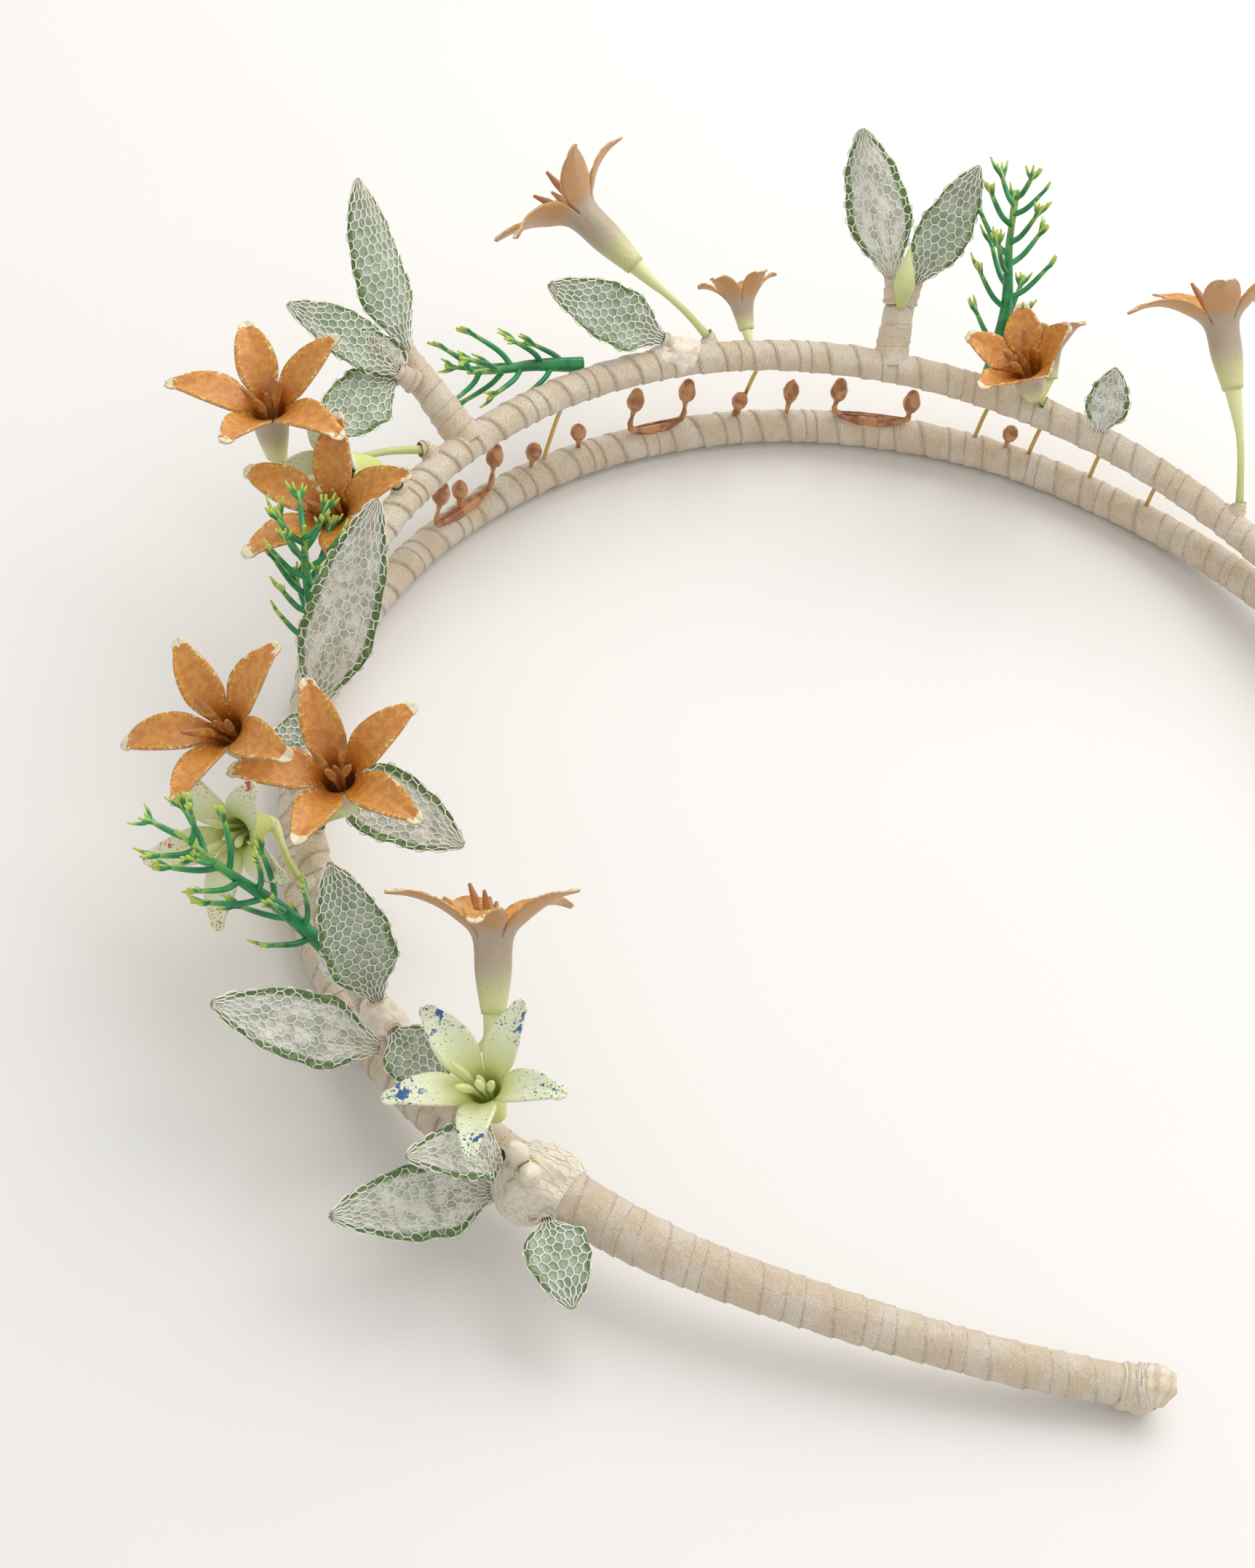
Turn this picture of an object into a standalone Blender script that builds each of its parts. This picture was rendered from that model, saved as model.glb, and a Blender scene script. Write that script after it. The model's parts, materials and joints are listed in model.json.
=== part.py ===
"""Flower crown: a wired, ribbon-wrapped hoop of two bands that join into two free arms,
dressed with net-covered leaves, painted lilies, fern sprigs and wax buds.

Metres, +Z up.  The origin is the centre of the hoop on the surface that it rests on, and +Y
is the front of the crown.  A place on the hoop is its turn: degrees from the front, positive
towards -X.  A direction is a heading (degrees from +X about +Z) and a lift above level.
"""

import math

import bmesh
import bpy
from mathutils import Matrix, Vector

MM = 0.001

# Hoop
HOOP_RADIUS = 73.0 * MM
JOIN_TURN = 104.0
ARM_TURN = 159.0
ARM_SPLAY = 10.0 * MM
SPLAY_TURN = 125.0
RAIL_STEP = 8.0

# Bands and arms, with their ribbon wrap
UPPER_RADIUS = 2.15 * MM
LOWER_RADIUS = 2.3 * MM
ARM_RADIUS = 3.4 * MM
ARM_TIP_RADIUS = 2.5 * MM
WRAP_WALL = 0.5 * MM
UPPER_FRONT_HEIGHT = 17.8 * MM
UPPER_SIDE_HEIGHT = 10.3 * MM
LOWER_RISE = 3.2 * MM
LOWER_RISE_TURN = 70.0
ARM_JOIN_HEIGHT = 9.6 * MM
ARM_TIP_HEIGHT = 3.4 * MM
ARM_DROOP = 1.4
KNOB_LENGTH = 5.0 * MM
KNOB_BULGE = 0.5 * MM
KNOB_FACE = 1.4 * MM
KNOB_LIFT = 0.9 * MM
KNOB_PROFILE = ((0.0, 0.0), (0.15, 0.6), (0.5, 1.0), (0.8, 0.5), (1.0, 0.0))
BAND_SIDES = 8
CORE_SIDES = 6

# Clearances
GAP = 0.3 * MM
JOINT_GAP = 0.9 * MM

# Leaves
LEAF_THICKNESS = 0.8 * MM
LEAF_ROOT = 0.75 * MM
LEAF_POINT = 0.25 * MM
LEAF_CUP = 0.22
LEAF_SKEW = 0.85
LEAF_FULLNESS = 0.75
LEAF_NECK = 0.2
LEAF_ROWS = 6
LEAF_COLUMNS = 2

# Lilies
PETALS = 5
CUP_WALL = 0.45 * MM
CUP_FOOT = 1.45 * MM
CUP_MOUTH = 2.7 * MM
CUP_FLARE = 1.3
CUP_ROWS = 2
PETAL_WIDTH = 4.7 * MM
PETAL_TIP = 0.4 * MM
PETAL_ROWS = 4
PETAL_SLOT = 5.0
PETAL_LEAN = 34.0
PETAL_CURL = 0.9
PETAL_DISH = 0.25
PETAL_SWAY = 0.22
PETAL_STAGGER = 0.06
LEAN_STEPS = 12
PALE_SCALE = 0.9
STEM_RADIUS = 0.55 * MM
PISTIL_RISE = 3.0 * MM
PISTIL_PROFILE = ((-0.05, 1.0), (0.25, 0.9), (0.6, 0.6), (0.85, 0.6), (0.95, 1.3), (1.0, 0.6))

# Ferns, buds and pips
FERN_STEM = 0.9 * MM
FERN_TWIG = 0.45 * MM
FERN_SIDES = 6
FERN_BARE_ROWS = 3
FERN_TAPER = 0.45
TWIG_STEPS = ((0.8, 0.6, 0.7), (0.45, 0.9, 0.6))
WIRE_RADIUS = 0.4 * MM
BUD_RADIUS = 1.3 * MM
BUD_LENGTH = 5.0 * MM
DROP_PROFILE = ((0.0, 0.3), (0.3, 0.83), (0.65, 1.0))
PIP_SHARE = 0.8
PIP_RADIUS = 1.1 * MM
PIP_LENGTH = 4.2 * MM

# Colours
IVORY_RIBBON = (0.74, 0.62, 0.47)
STEM_WIRE = (0.30, 0.32, 0.22)
LEAF_GREEN = (0.55, 0.60, 0.45)
LILY_ORANGE = (0.58, 0.21, 0.04)
LILY_PALE = (0.80, 0.82, 0.50)
STEM_PALE = (0.72, 0.76, 0.42)
FERN_GREEN = (0.02, 0.28, 0.10)
BUD_WAX = (0.82, 0.74, 0.60)
PIP_BROWN = (0.45, 0.16, 0.05)

# name, rail, turn, heading, lift, reach, width, roll, droop (degrees over the length)
LEAVES = (
    ("leaf_near_knot_long", "lower", 102, 170, 20, 27, 9.0, -30, 8),
    ("leaf_near_knot_arched", "upper", 101, 176, 36, 20, 7.0, -30, 70),
    ("leaf_near_arm_hanging", "arm", 107.5, 234, 0, 15.5, 7.5, 10, 45),
    ("leaf_near_inner", "upper", 85, 256, 24, 14, 7.0, 30, 15),
    ("leaf_side_upright", "upper", 82, 117, 70, 26, 8.5, -45, 10),
    ("leaf_side_outer", "upper", 86, 149, 25, 26, 8.5, -35, 8),
    ("leaf_left_tall", "upper", 49, 25, 64, 33, 9.0, 15, 8),
    ("leaf_left_inner", "upper", 54, 291, 6, 23, 9.0, 30, 12),
    ("leaf_front_tall", "stub_left", 0, 77, 42, 26, 8.5, 196, 8),
    ("leaf_front_low", "stub_left", 1, 188, 2, 18, 8.0, -30, 10),
    ("leaf_front_back", "stub_left", 2, 142, 34, 20, 7.0, -20, 10),
    ("leaf_middle", "upper", -18, 140, 36, 21.7, 8.0, -40, 8),
    ("leaf_right_tall", "stub_right", 0, 99, 62, 25, 8.5, 140, 8),
    ("leaf_right_short", "stub_right", 1, 2, 60, 21, 7.0, 30, 8),
    ("leaf_far_knot_long", "lower", -102, 10, 20, 27, 9.0, 30, 8),
    ("leaf_far_knot_arched", "upper", -101, 4, 36, 20, 7.0, 30, 70),
    ("leaf_far_arm_hanging", "arm", -107.5, 306, 0, 15.5, 7.5, -10, 45),
)

# name, rail, turn, stem heading, lift and reach, face heading and lift, cup and petal
# lengths, flare (degrees off the cup's axis at the petal tips), spin about the cup's axis
LILIES = (
    ("lily_near", "upper", 91, 325, 69, 15.5, 56, 38, 9.0, 11.0, 100, 0),
    ("lily_side_open", "upper", 61, 297, 63, 10, 188, 71, 8.0, 11.0, 95, 6),
    ("lily_side_outer", "upper", 56, 157, 54, 11, 165, 55, 8.0, 11.0, 95, 30),
    ("lily_left_low", "upper", 24, 206, 42, 9, 167, 62, 8.0, 11.0, 95, -5),
    ("lily_left_high", "upper", 12, 159, 19, 24, 151, 79, 8.5, 11.0, 90, 40),
    ("lily_front", "upper", -23, 104, 29, 16, 105, 20, 10.0, 10.5, 90, 10),
    ("lily_right", "upper", -83, 55, 44, 18, 68, 36, 9.0, 11.0, 95, 0),
    ("lily_right_small", "upper", -60, 150, 62, 4.5, 150, 66, 6.0, 7.0, 60, 20),
)
PALE_LILIES = (
    ("pale_lily_speckled_blue", "upper", 96, 276, 56, 6.5, 160, 70, 6.5, 10.0, 88, -22),
    ("pale_lily_speckled_red", "upper", 67, 102, 24, 10.5, 194, 30, 6.5, 9.5, 85, 8),
    ("pale_lily_plain", "upper", 18, 150, 56, 8, 180, 30, 6.0, 6.5, 40, 0),
)

# name, rail, turn, heading, lift, reach, twigs, twig length
FERNS = (
    ("fern_side", "upper", 76, 130, 42, 31, 9, 6.5),
    ("fern_left", "upper", 42, 75, 65, 21, 7, 6.5),
    ("fern_front", "upper", -8, 158, 4, 15, 5, 5.0),
    ("fern_right", "upper", -53, 47, 59, 28, 8, 6.5),
)

# name, turn, two buds as heading, lift and reach
BUD_PAIRS = (
    ("bud_pair_near", 104, (168, 62, 9.0), (212, 52, 8.5)),
    ("bud_pair_side", 79, (168, 60, 10.0), (140, 78, 10.0)),
)

# name, turns of its two pips
PIP_WIRES = (
    ("pip_wire_left", 11.0, 3.0),
    ("pip_wire_middle", -15.0, -21.0),
    ("pip_wire_right", -38.0, -46.0),
)

# name, turn, heading, lift, length, root and tip radius
STUBS = {
    "stub_left": ("branch_stub_left", 6, 117, 25, 9.5, 2.2, 1.9),
    "stub_right": ("branch_stub_right", -43, 50, 40, 7.5, 2.6, 2.3),
}


def direction(heading, lift):
    """Unit vector for a heading and a lift in degrees."""
    heading, lift = math.radians(heading), math.radians(lift)
    level = math.cos(lift)
    return Vector((level * math.cos(heading), level * math.sin(heading), math.sin(lift)))


def ease(value, start, end):
    """Smooth step from 0 at start to 1 at end."""
    share = min(max((value - start) / (end - start), 0.0), 1.0)
    return share * share * (3.0 - 2.0 * share)


def rail_point(rail, turn):
    """Centreline of a band or an arm at a turn."""
    side = abs(turn)
    radius = HOOP_RADIUS
    if rail == "arm":
        radius += ARM_SPLAY * max((side - SPLAY_TURN) / (ARM_TURN - SPLAY_TURN), 0.0) ** 2
        share = (side - JOIN_TURN) / (ARM_TURN - JOIN_TURN)
        height = ARM_JOIN_HEIGHT + (ARM_TIP_HEIGHT - ARM_JOIN_HEIGHT) * max(share, 0.0) ** ARM_DROOP
    elif rail == "upper":
        crest = math.cos(math.radians(90.0 * side / JOIN_TURN)) ** 2
        height = UPPER_SIDE_HEIGHT + (UPPER_FRONT_HEIGHT - UPPER_SIDE_HEIGHT) * crest
    else:
        height = LOWER_RADIUS + LOWER_RISE * ease(side, LOWER_RISE_TURN, JOIN_TURN)
    angle = math.radians(90.0 + turn)
    return Vector((radius * math.cos(angle), radius * math.sin(angle), height))


def rail_radius(rail, turn):
    """Outer radius of a wrapped band or arm at a turn."""
    if rail == "upper":
        return UPPER_RADIUS
    if rail == "lower":
        return LOWER_RADIUS
    share = (abs(turn) - JOIN_TURN) / (ARM_TURN - JOIN_TURN)
    return ARM_RADIUS + (ARM_TIP_RADIUS - ARM_RADIUS) * share


def stub_line(stub):
    """Root, direction and length of a branch stub, clear of the upper band."""
    _, turn, heading, lift, length, root_radius, _ = STUBS[stub]
    aim = direction(heading, lift)
    start = seat("upper", turn, aim, root_radius * MM)
    return start, aim, length * MM


def seat(rail, turn, aim, half_width):
    """Point just clear of the rail where a piece that leaves along aim begins."""
    if rail in STUBS:
        start, stub_aim, length = stub_line(rail)
        tip_radius = STUBS[rail][6] * MM
        across = (aim - stub_aim * aim.dot(stub_aim)).normalized()
        lean = aim.dot(stub_aim)
        reach = GAP + half_width * math.sqrt(max(1.0 - lean * lean, 0.0))
        return start + stub_aim * (length + reach) + across * tip_radius * 0.9
    step = 0.5
    anchor = rail_point(rail, turn)
    tangent = (rail_point(rail, turn + step) - rail_point(rail, turn - step)).normalized()
    outward = (aim - tangent * aim.dot(tangent)).normalized()
    lean = aim.dot(outward)
    reach = rail_radius(rail, turn) + GAP + half_width * math.sqrt(max(1.0 - lean * lean, 0.0))
    return anchor + outward * reach


def anchor_point(rail, turn):
    """Centre of the rail or stub tip that a piece is measured from."""
    if rail in STUBS:
        start, stub_aim, length = stub_line(rail)
        return start + stub_aim * length
    return rail_point(rail, turn)


def material(name, colour, roughness, metallic=0.0):
    """Plain shader with one colour."""
    finish = bpy.data.materials.new(name)
    finish.use_nodes = True
    shader = finish.node_tree.nodes["Principled BSDF"]
    shader.inputs["Base Color"].default_value = (*colour, 1.0)
    shader.inputs["Roughness"].default_value = roughness
    shader.inputs["Metallic"].default_value = metallic
    return finish


def place(name, data, colour, roughness=0.6, metallic=0.0):
    """Object in the crown's collection with a material of its own."""
    data.materials.append(material(name, colour, roughness, metallic))
    piece = bpy.data.objects.new(name, data)
    crown.objects.link(piece)
    return piece


def tube(name, points, radii, sides, colour, wall=0.0, roughness=0.6, metallic=0.0):
    """Tube along points, solid with caps or, with a wall, open at both ends."""
    curve = bpy.data.curves.new(name, "CURVE")
    curve.dimensions = "3D"
    curve.bevel_depth = 1.0
    curve.bevel_resolution = (sides - 4) // 2
    curve.use_fill_caps = not wall
    curve.twist_mode = "MINIMUM"
    spline = curve.splines.new("POLY")
    spline.points.add(len(points) - 1)
    for knot, point, radius in zip(spline.points, points, radii):
        knot.co = (*point, 1.0)
        knot.radius = radius
    piece = place(name, curve, colour, roughness, metallic)
    if wall:
        shell = piece.modifiers.new("wall", "SOLIDIFY")
        shell.thickness = wall
        shell.offset = -1.0
        shell.use_even_offset = True
    return piece


def band(name, rail):
    """One band: a wire core and the ribbon wrapped round it."""
    count = round(2.0 * JOIN_TURN / RAIL_STEP)
    turns = [JOIN_TURN - 2.0 * JOIN_TURN * step / count for step in range(count + 1)]
    points = [rail_point(rail, turn) for turn in turns]
    outer = rail_radius(rail, 0.0)
    core = outer - WRAP_WALL - GAP
    tube(name + "_wire", points, [core] * len(points), CORE_SIDES, STEM_WIRE, 0.0, 0.5)
    tube(name + "_wrap", points, [outer] * len(points), BAND_SIDES, IVORY_RIBBON, WRAP_WALL, 0.5)


def arm(name, side):
    """One free arm: wire core, ribbon wrap, and the bound ribbon knob on its end."""
    gap_turn = math.degrees(JOINT_GAP / HOOP_RADIUS)
    start, end = JOIN_TURN + gap_turn, ARM_TURN
    count = round((end - start) / RAIL_STEP)
    turns = [side * (start + (end - start) * step / count) for step in range(count + 1)]
    points = [rail_point("arm", turn) for turn in turns]
    outer = [rail_radius("arm", turn) for turn in turns]
    core = [radius - WRAP_WALL - GAP for radius in outer]
    tube(name + "_wire", points, core, CORE_SIDES, STEM_WIRE, 0.0, 0.5)
    tube(name + "_wrap", points, outer, BAND_SIDES, IVORY_RIBBON, WRAP_WALL, 0.5)
    along = (points[-1] - points[-2]).normalized()
    first = points[-1] + along * GAP
    centres = []
    radii = []
    for share, bulge in KNOB_PROFILE:
        lift = Vector((0.0, 0.0, KNOB_LIFT * share * share))
        centres.append(first + along * KNOB_LENGTH * share + lift)
        radii.append(ARM_TIP_RADIUS + KNOB_BULGE * bulge)
    radii[-1] = KNOB_FACE
    tube(name + "_end", centres, radii, BAND_SIDES, IVORY_RIBBON, 0.0, 0.5)


def leaf_outline(share):
    """Half width of the blade as a part of its half width, root to tip."""
    return math.sin(math.pi * share ** LEAF_SKEW) ** LEAF_FULLNESS


def leaf(name, rail, turn, heading, lift, reach, width, roll, droop):
    """Blade that is pointed at both ends, cupped across and bent along its length."""
    anchor = anchor_point(rail, turn)
    aim = direction(heading, lift)
    root = seat(rail, turn, aim, LEAF_ROOT)
    tip = anchor + aim * reach * MM
    length = (tip - root).length
    form = bmesh.new()
    bmesh.ops.create_grid(form, x_segments=LEAF_ROWS, y_segments=LEAF_COLUMNS, size=0.5)
    bend = math.radians(droop)
    for vertex in form.verts:
        share, side = vertex.co.x + 0.5, 2.0 * vertex.co.y
        half = max(0.5 * width * MM * leaf_outline(share), LEAF_POINT)
        if share < LEAF_NECK:
            half = max(half, LEAF_ROOT)
        arc = bend * (share - 0.5)
        along = 0.5 * length + 0.5 * length * math.sin(arc) / math.sin(0.5 * bend)
        rise = length / bend * (math.cos(arc) - math.cos(0.5 * bend))
        dish = LEAF_CUP * half * side * side
        vertex.co = Vector((along, half * side, rise + dish))
    data = bpy.data.meshes.new(name)
    form.to_mesh(data)
    form.free()
    data.shade_smooth()
    piece = place(name, data, LEAF_GREEN, 0.7)
    aim = (tip - root).normalized()
    flat = Vector((0.0, 0.0, 1.0)).cross(aim).normalized()
    turned = Matrix.Rotation(math.radians(roll), 3, aim) @ flat
    upward = aim.cross(turned)
    piece.matrix_world = Matrix((aim, turned, upward)).transposed().to_4x4()
    piece.location = root
    cloth = piece.modifiers.new("thickness", "SOLIDIFY")
    cloth.thickness = LEAF_THICKNESS
    cloth.offset = 0.0


def facing(heading, lift, spin):
    """Rotation whose local Z is the given direction, spun about it."""
    axis = direction(heading, lift)
    across = Vector((0.0, 0.0, 1.0)).cross(axis).normalized()
    frame = Matrix((across, axis.cross(across), axis)).transposed()
    return frame @ Matrix.Rotation(math.radians(spin), 3, "Z")


def corolla(name, colour, base, turned, cup, petal, flare, scale):
    """Cup and petals: a strip rolled into a tube, with slots between the petals."""
    form = bmesh.new()
    columns, rows = 3 * PETALS, CUP_ROWS + PETAL_ROWS
    bmesh.ops.create_grid(form, x_segments=columns, y_segments=rows, size=0.5)
    foot, mouth, half = CUP_FOOT * scale, CUP_MOUTH * scale, 0.5 * PETAL_WIDTH * scale
    slot = math.radians(PETAL_SLOT)
    full = 2.0 * math.pi / PETALS
    slots = []
    for face in form.faces:
        middle = face.calc_center_median()
        column = math.floor((middle.x + 0.5) * columns)
        row = (middle.y + 0.5) * rows
        if column % 3 == 2 and row > CUP_ROWS:
            slots.append(face)
    bmesh.ops.delete(form, geom=slots, context="FACES")
    for vertex in form.verts:
        column = round((vertex.co.x + 0.5) * columns)
        row = round((vertex.co.y + 0.5) * rows)
        number, place_in_petal = divmod(column, 3)
        side = place_in_petal - 1
        angle = number * full + side * 0.5 * (full - slot)
        if row <= CUP_ROWS:
            share = row / CUP_ROWS
            radius = foot + (mouth - foot) * share ** CUP_FLARE
            height = cup * share
            vertex.co = Vector((radius * math.cos(angle), radius * math.sin(angle), height))
            continue
        share = (row - CUP_ROWS) / PETAL_ROWS
        petal_number = number % PETALS
        sway = math.sin(2.4 * petal_number + flare)
        end = math.radians(flare * (1.0 + PETAL_SWAY * sway))
        length = petal * (1.0 + PETAL_STAGGER * math.cos(1.7 * petal_number + cup))
        begin = math.radians(PETAL_LEAN)
        out, up = mouth, cup
        for step in range(round(LEAN_STEPS * share)):
            lean = begin + (end - begin) * ((step + 0.5) / LEAN_STEPS) ** PETAL_CURL
            out += length / LEAN_STEPS * math.sin(lean)
            up += length / LEAN_STEPS * math.cos(lean)
        lean = begin + (end - begin) * share
        breadth = half * (math.sin(math.pi * (0.27 + 0.70 * share)) ** 0.8)
        breadth = max(breadth, PETAL_TIP)
        dish = PETAL_DISH * breadth * abs(side)
        spine = number * full
        radial = Vector((math.cos(spine), math.sin(spine), 0.0))
        across = Vector((-math.sin(spine), math.cos(spine), 0.0))
        inward = Vector((0.0, 0.0, 1.0)) * math.sin(lean) - radial * math.cos(lean)
        centre = radial * out + Vector((0.0, 0.0, up))
        vertex.co = centre + across * breadth * side + inward * dish
    bmesh.ops.remove_doubles(form, verts=form.verts, dist=0.01 * MM)
    data = bpy.data.meshes.new(name)
    form.to_mesh(data)
    form.free()
    data.shade_smooth()
    piece = place(name, data, colour, 0.4)
    piece.matrix_world = turned.to_4x4()
    piece.location = base
    wall = piece.modifiers.new("wall", "SOLIDIFY")
    wall.thickness = CUP_WALL
    wall.offset = -1.0


def lily(colour, stem_colour, scale, name, rail, turn, heading, lift, reach, face_heading,
         face_lift, cup, petal, flare, spin):
    """Lily: a cup with petals, and a stem that runs up through it and ends as the pistil."""
    aim = direction(heading, lift)
    root = seat(rail, turn, aim, STEM_RADIUS)
    base = anchor_point(rail, turn) + aim * reach * MM
    turned = facing(face_heading, face_lift, spin)
    axis = turned @ Vector((0.0, 0.0, 1.0))
    corolla(name + "_petals", colour, base, turned, cup * MM, petal * MM, flare, scale)
    points = []
    radii = []
    reach_out = (base - root).length
    for share in (0.0, 0.2, 0.4, 0.6, 0.8):
        bend_a = root + aim * reach_out * 0.5
        bend_b = base - axis * reach_out * 0.45
        one, two = 1.0 - share, share
        point = root * one ** 3 + bend_a * 3.0 * one ** 2 * two
        points.append(point + bend_b * 3.0 * one * two ** 2 + base * two ** 3)
        radii.append(STEM_RADIUS)
    top = cup * MM + PISTIL_RISE
    for share, radius in PISTIL_PROFILE:
        points.append(base + axis * top * share)
        radii.append(STEM_RADIUS * radius)
    tube(name + "_stem", points, radii, CORE_SIDES, stem_colour, 0.0, 0.4)


def fern(name, rail, turn, heading, lift, reach, twigs, twig_length):
    """Moulded fern sprig: a tapered stem whose side faces are drawn out into bent twigs."""
    aim = direction(heading, lift)
    root = seat(rail, turn, aim, FERN_STEM)
    length = (anchor_point(rail, turn) + aim * reach * MM - root).length
    along = Vector((0.0, 0.0, 1.0))
    rows = FERN_BARE_ROWS + 2 * twigs + 1
    form = bmesh.new()
    bmesh.ops.create_cone(form, cap_ends=True, segments=FERN_SIDES, radius1=FERN_STEM,
                          radius2=FERN_TWIG, depth=length)
    bmesh.ops.translate(form, verts=form.verts, vec=along * 0.5 * length)
    upright = [edge for edge in form.edges if abs(edge.verts[0].co.z - edge.verts[1].co.z) > GAP]
    bmesh.ops.subdivide_edges(form, edges=upright, cuts=rows - 1)
    for twig in range(twigs):
        row = FERN_BARE_ROWS + 2 * twig + 0.5
        around = math.radians(360.0 / FERN_SIDES * (2 * twig + twig // 3 + 0.5))
        out = Vector((math.cos(around), math.sin(around), 0.0))
        wanted = out * FERN_STEM + along * length * row / rows
        side = min(form.faces, key=lambda face: (face.calc_center_median() - wanted).length)
        span = 0.5 * twig_length * MM * (1.0 - FERN_TAPER * row / rows)
        for outward, onward, shrink in TWIG_STEPS:
            side = bmesh.ops.extrude_discrete_faces(form, faces=[side])["faces"][0]
            step = (outward * out + onward * along) * span
            bmesh.ops.translate(form, verts=side.verts, vec=step)
            middle = Matrix.Translation(-side.calc_center_median())
            bmesh.ops.scale(form, verts=side.verts, vec=Vector.Fill(3, shrink), space=middle)
    data = bpy.data.meshes.new(name)
    form.to_mesh(data)
    form.free()
    piece = place(name, data, FERN_GREEN, 0.3)
    piece.matrix_world = facing(heading, lift, 0.0).to_4x4()
    piece.location = root


def bud_pair(name, turn, first, second):
    """Two wax buds on the ends of one bent brass wire that lies over the upper band."""
    anchor = rail_point("upper", turn)
    tips = [anchor + direction(*bud[:2]) * bud[2] * MM for bud in (first, second)]
    middle = (direction(*first[:2]) + direction(*second[:2])).normalized()
    crook = seat("upper", turn, middle, WIRE_RADIUS) + middle * WIRE_RADIUS
    spread = (tips[1] - tips[0]).normalized()
    points = []
    radii = []
    for tip, side in ((tips[0], -1.0), (tips[1], 1.0)):
        foot = crook + spread * side * 2.0 * WIRE_RADIUS
        back = (foot - tip).normalized()
        arm_points = [tip + back * share * BUD_LENGTH for share, _ in DROP_PROFILE]
        arm_points += [tip + back * BUD_LENGTH, foot]
        arm_radii = [width * BUD_RADIUS for _, width in DROP_PROFILE] + [WIRE_RADIUS, WIRE_RADIUS]
        if side > 0.0:
            arm_points.reverse()
            arm_radii.reverse()
        points += arm_points
        radii += arm_radii
    tube(name, points, radii, CORE_SIDES, BUD_WAX, 0.0, 0.35)


def pip_wire(name, first_turn, second_turn):
    """Two pips on the ends of a wire that lies along the lower band, under the upper one."""
    lying = 2.0 * LOWER_RADIUS + GAP + WIRE_RADIUS
    points = []
    radii = []
    up = Vector((0.0, 0.0, 1.0))
    inset = 0.3 * (second_turn - first_turn) / abs(second_turn - first_turn)
    for turn, side in ((first_turn, 1.0), (second_turn, -1.0)):
        foot = rail_point("lower", turn)
        foot.z = lying
        corner = rail_point("lower", turn + side * inset)
        corner.z = lying
        room = rail_point("upper", turn).z - UPPER_RADIUS - lying
        top = foot + up * room * PIP_SHARE
        leg = [top - up * share * PIP_LENGTH for share, _ in DROP_PROFILE]
        leg += [top - up * PIP_LENGTH, foot + up * WIRE_RADIUS, corner]
        leg_radii = [width * PIP_RADIUS for _, width in DROP_PROFILE] + [WIRE_RADIUS] * 3
        if side < 0.0:
            leg.reverse()
            leg_radii.reverse()
        points += leg
        radii += leg_radii
    tube(name, points, radii, CORE_SIDES, PIP_BROWN, 0.0, 0.4)


def branch_stub(stub):
    """Short wrapped fork that stands on the upper band and carries leaves."""
    name, _, _, _, _, root_radius, tip_radius = STUBS[stub]
    start, aim, length = stub_line(stub)
    points = [start + aim * length * share for share in (0.0, 0.35, 0.7, 0.93, 1.0)]
    radii = [root_radius, 0.5 * (root_radius + tip_radius), tip_radius, tip_radius, 0.8 * tip_radius]
    tube(name, points, [radius * MM for radius in radii], BAND_SIDES, IVORY_RIBBON, 0.0, 0.5)


for old in list(bpy.data.objects):
    bpy.data.objects.remove(old)
crown = bpy.data.collections.new("flower_crown")
bpy.context.scene.collection.children.link(crown)

band("upper_band", "upper")
band("lower_band", "lower")
arm("near_arm", 1.0)
arm("far_arm", -1.0)
for stub_name in STUBS:
    branch_stub(stub_name)
for entry in LEAVES:
    leaf(*entry)
for entry in LILIES:
    lily(LILY_ORANGE, STEM_PALE, 1.0, *entry)
for entry in PALE_LILIES:
    lily(LILY_PALE, STEM_PALE, PALE_SCALE, *entry)
for entry in FERNS:
    fern(*entry)
for entry in BUD_PAIRS:
    bud_pair(*entry)
for entry in PIP_WIRES:
    pip_wire(*entry)
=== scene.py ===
"""Flower crown: the ribbon, net, paint, wax and wire of a hoop whose frame comes from its CAD model.

Lengths are metres.  A piece takes its place from the CAD node that it stands for, and the
pieces with no node of their own are set out along the bands.
"""

import json
import math
import random

import bmesh
import bpy
import numpy as np
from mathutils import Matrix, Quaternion, Vector, noise

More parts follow.
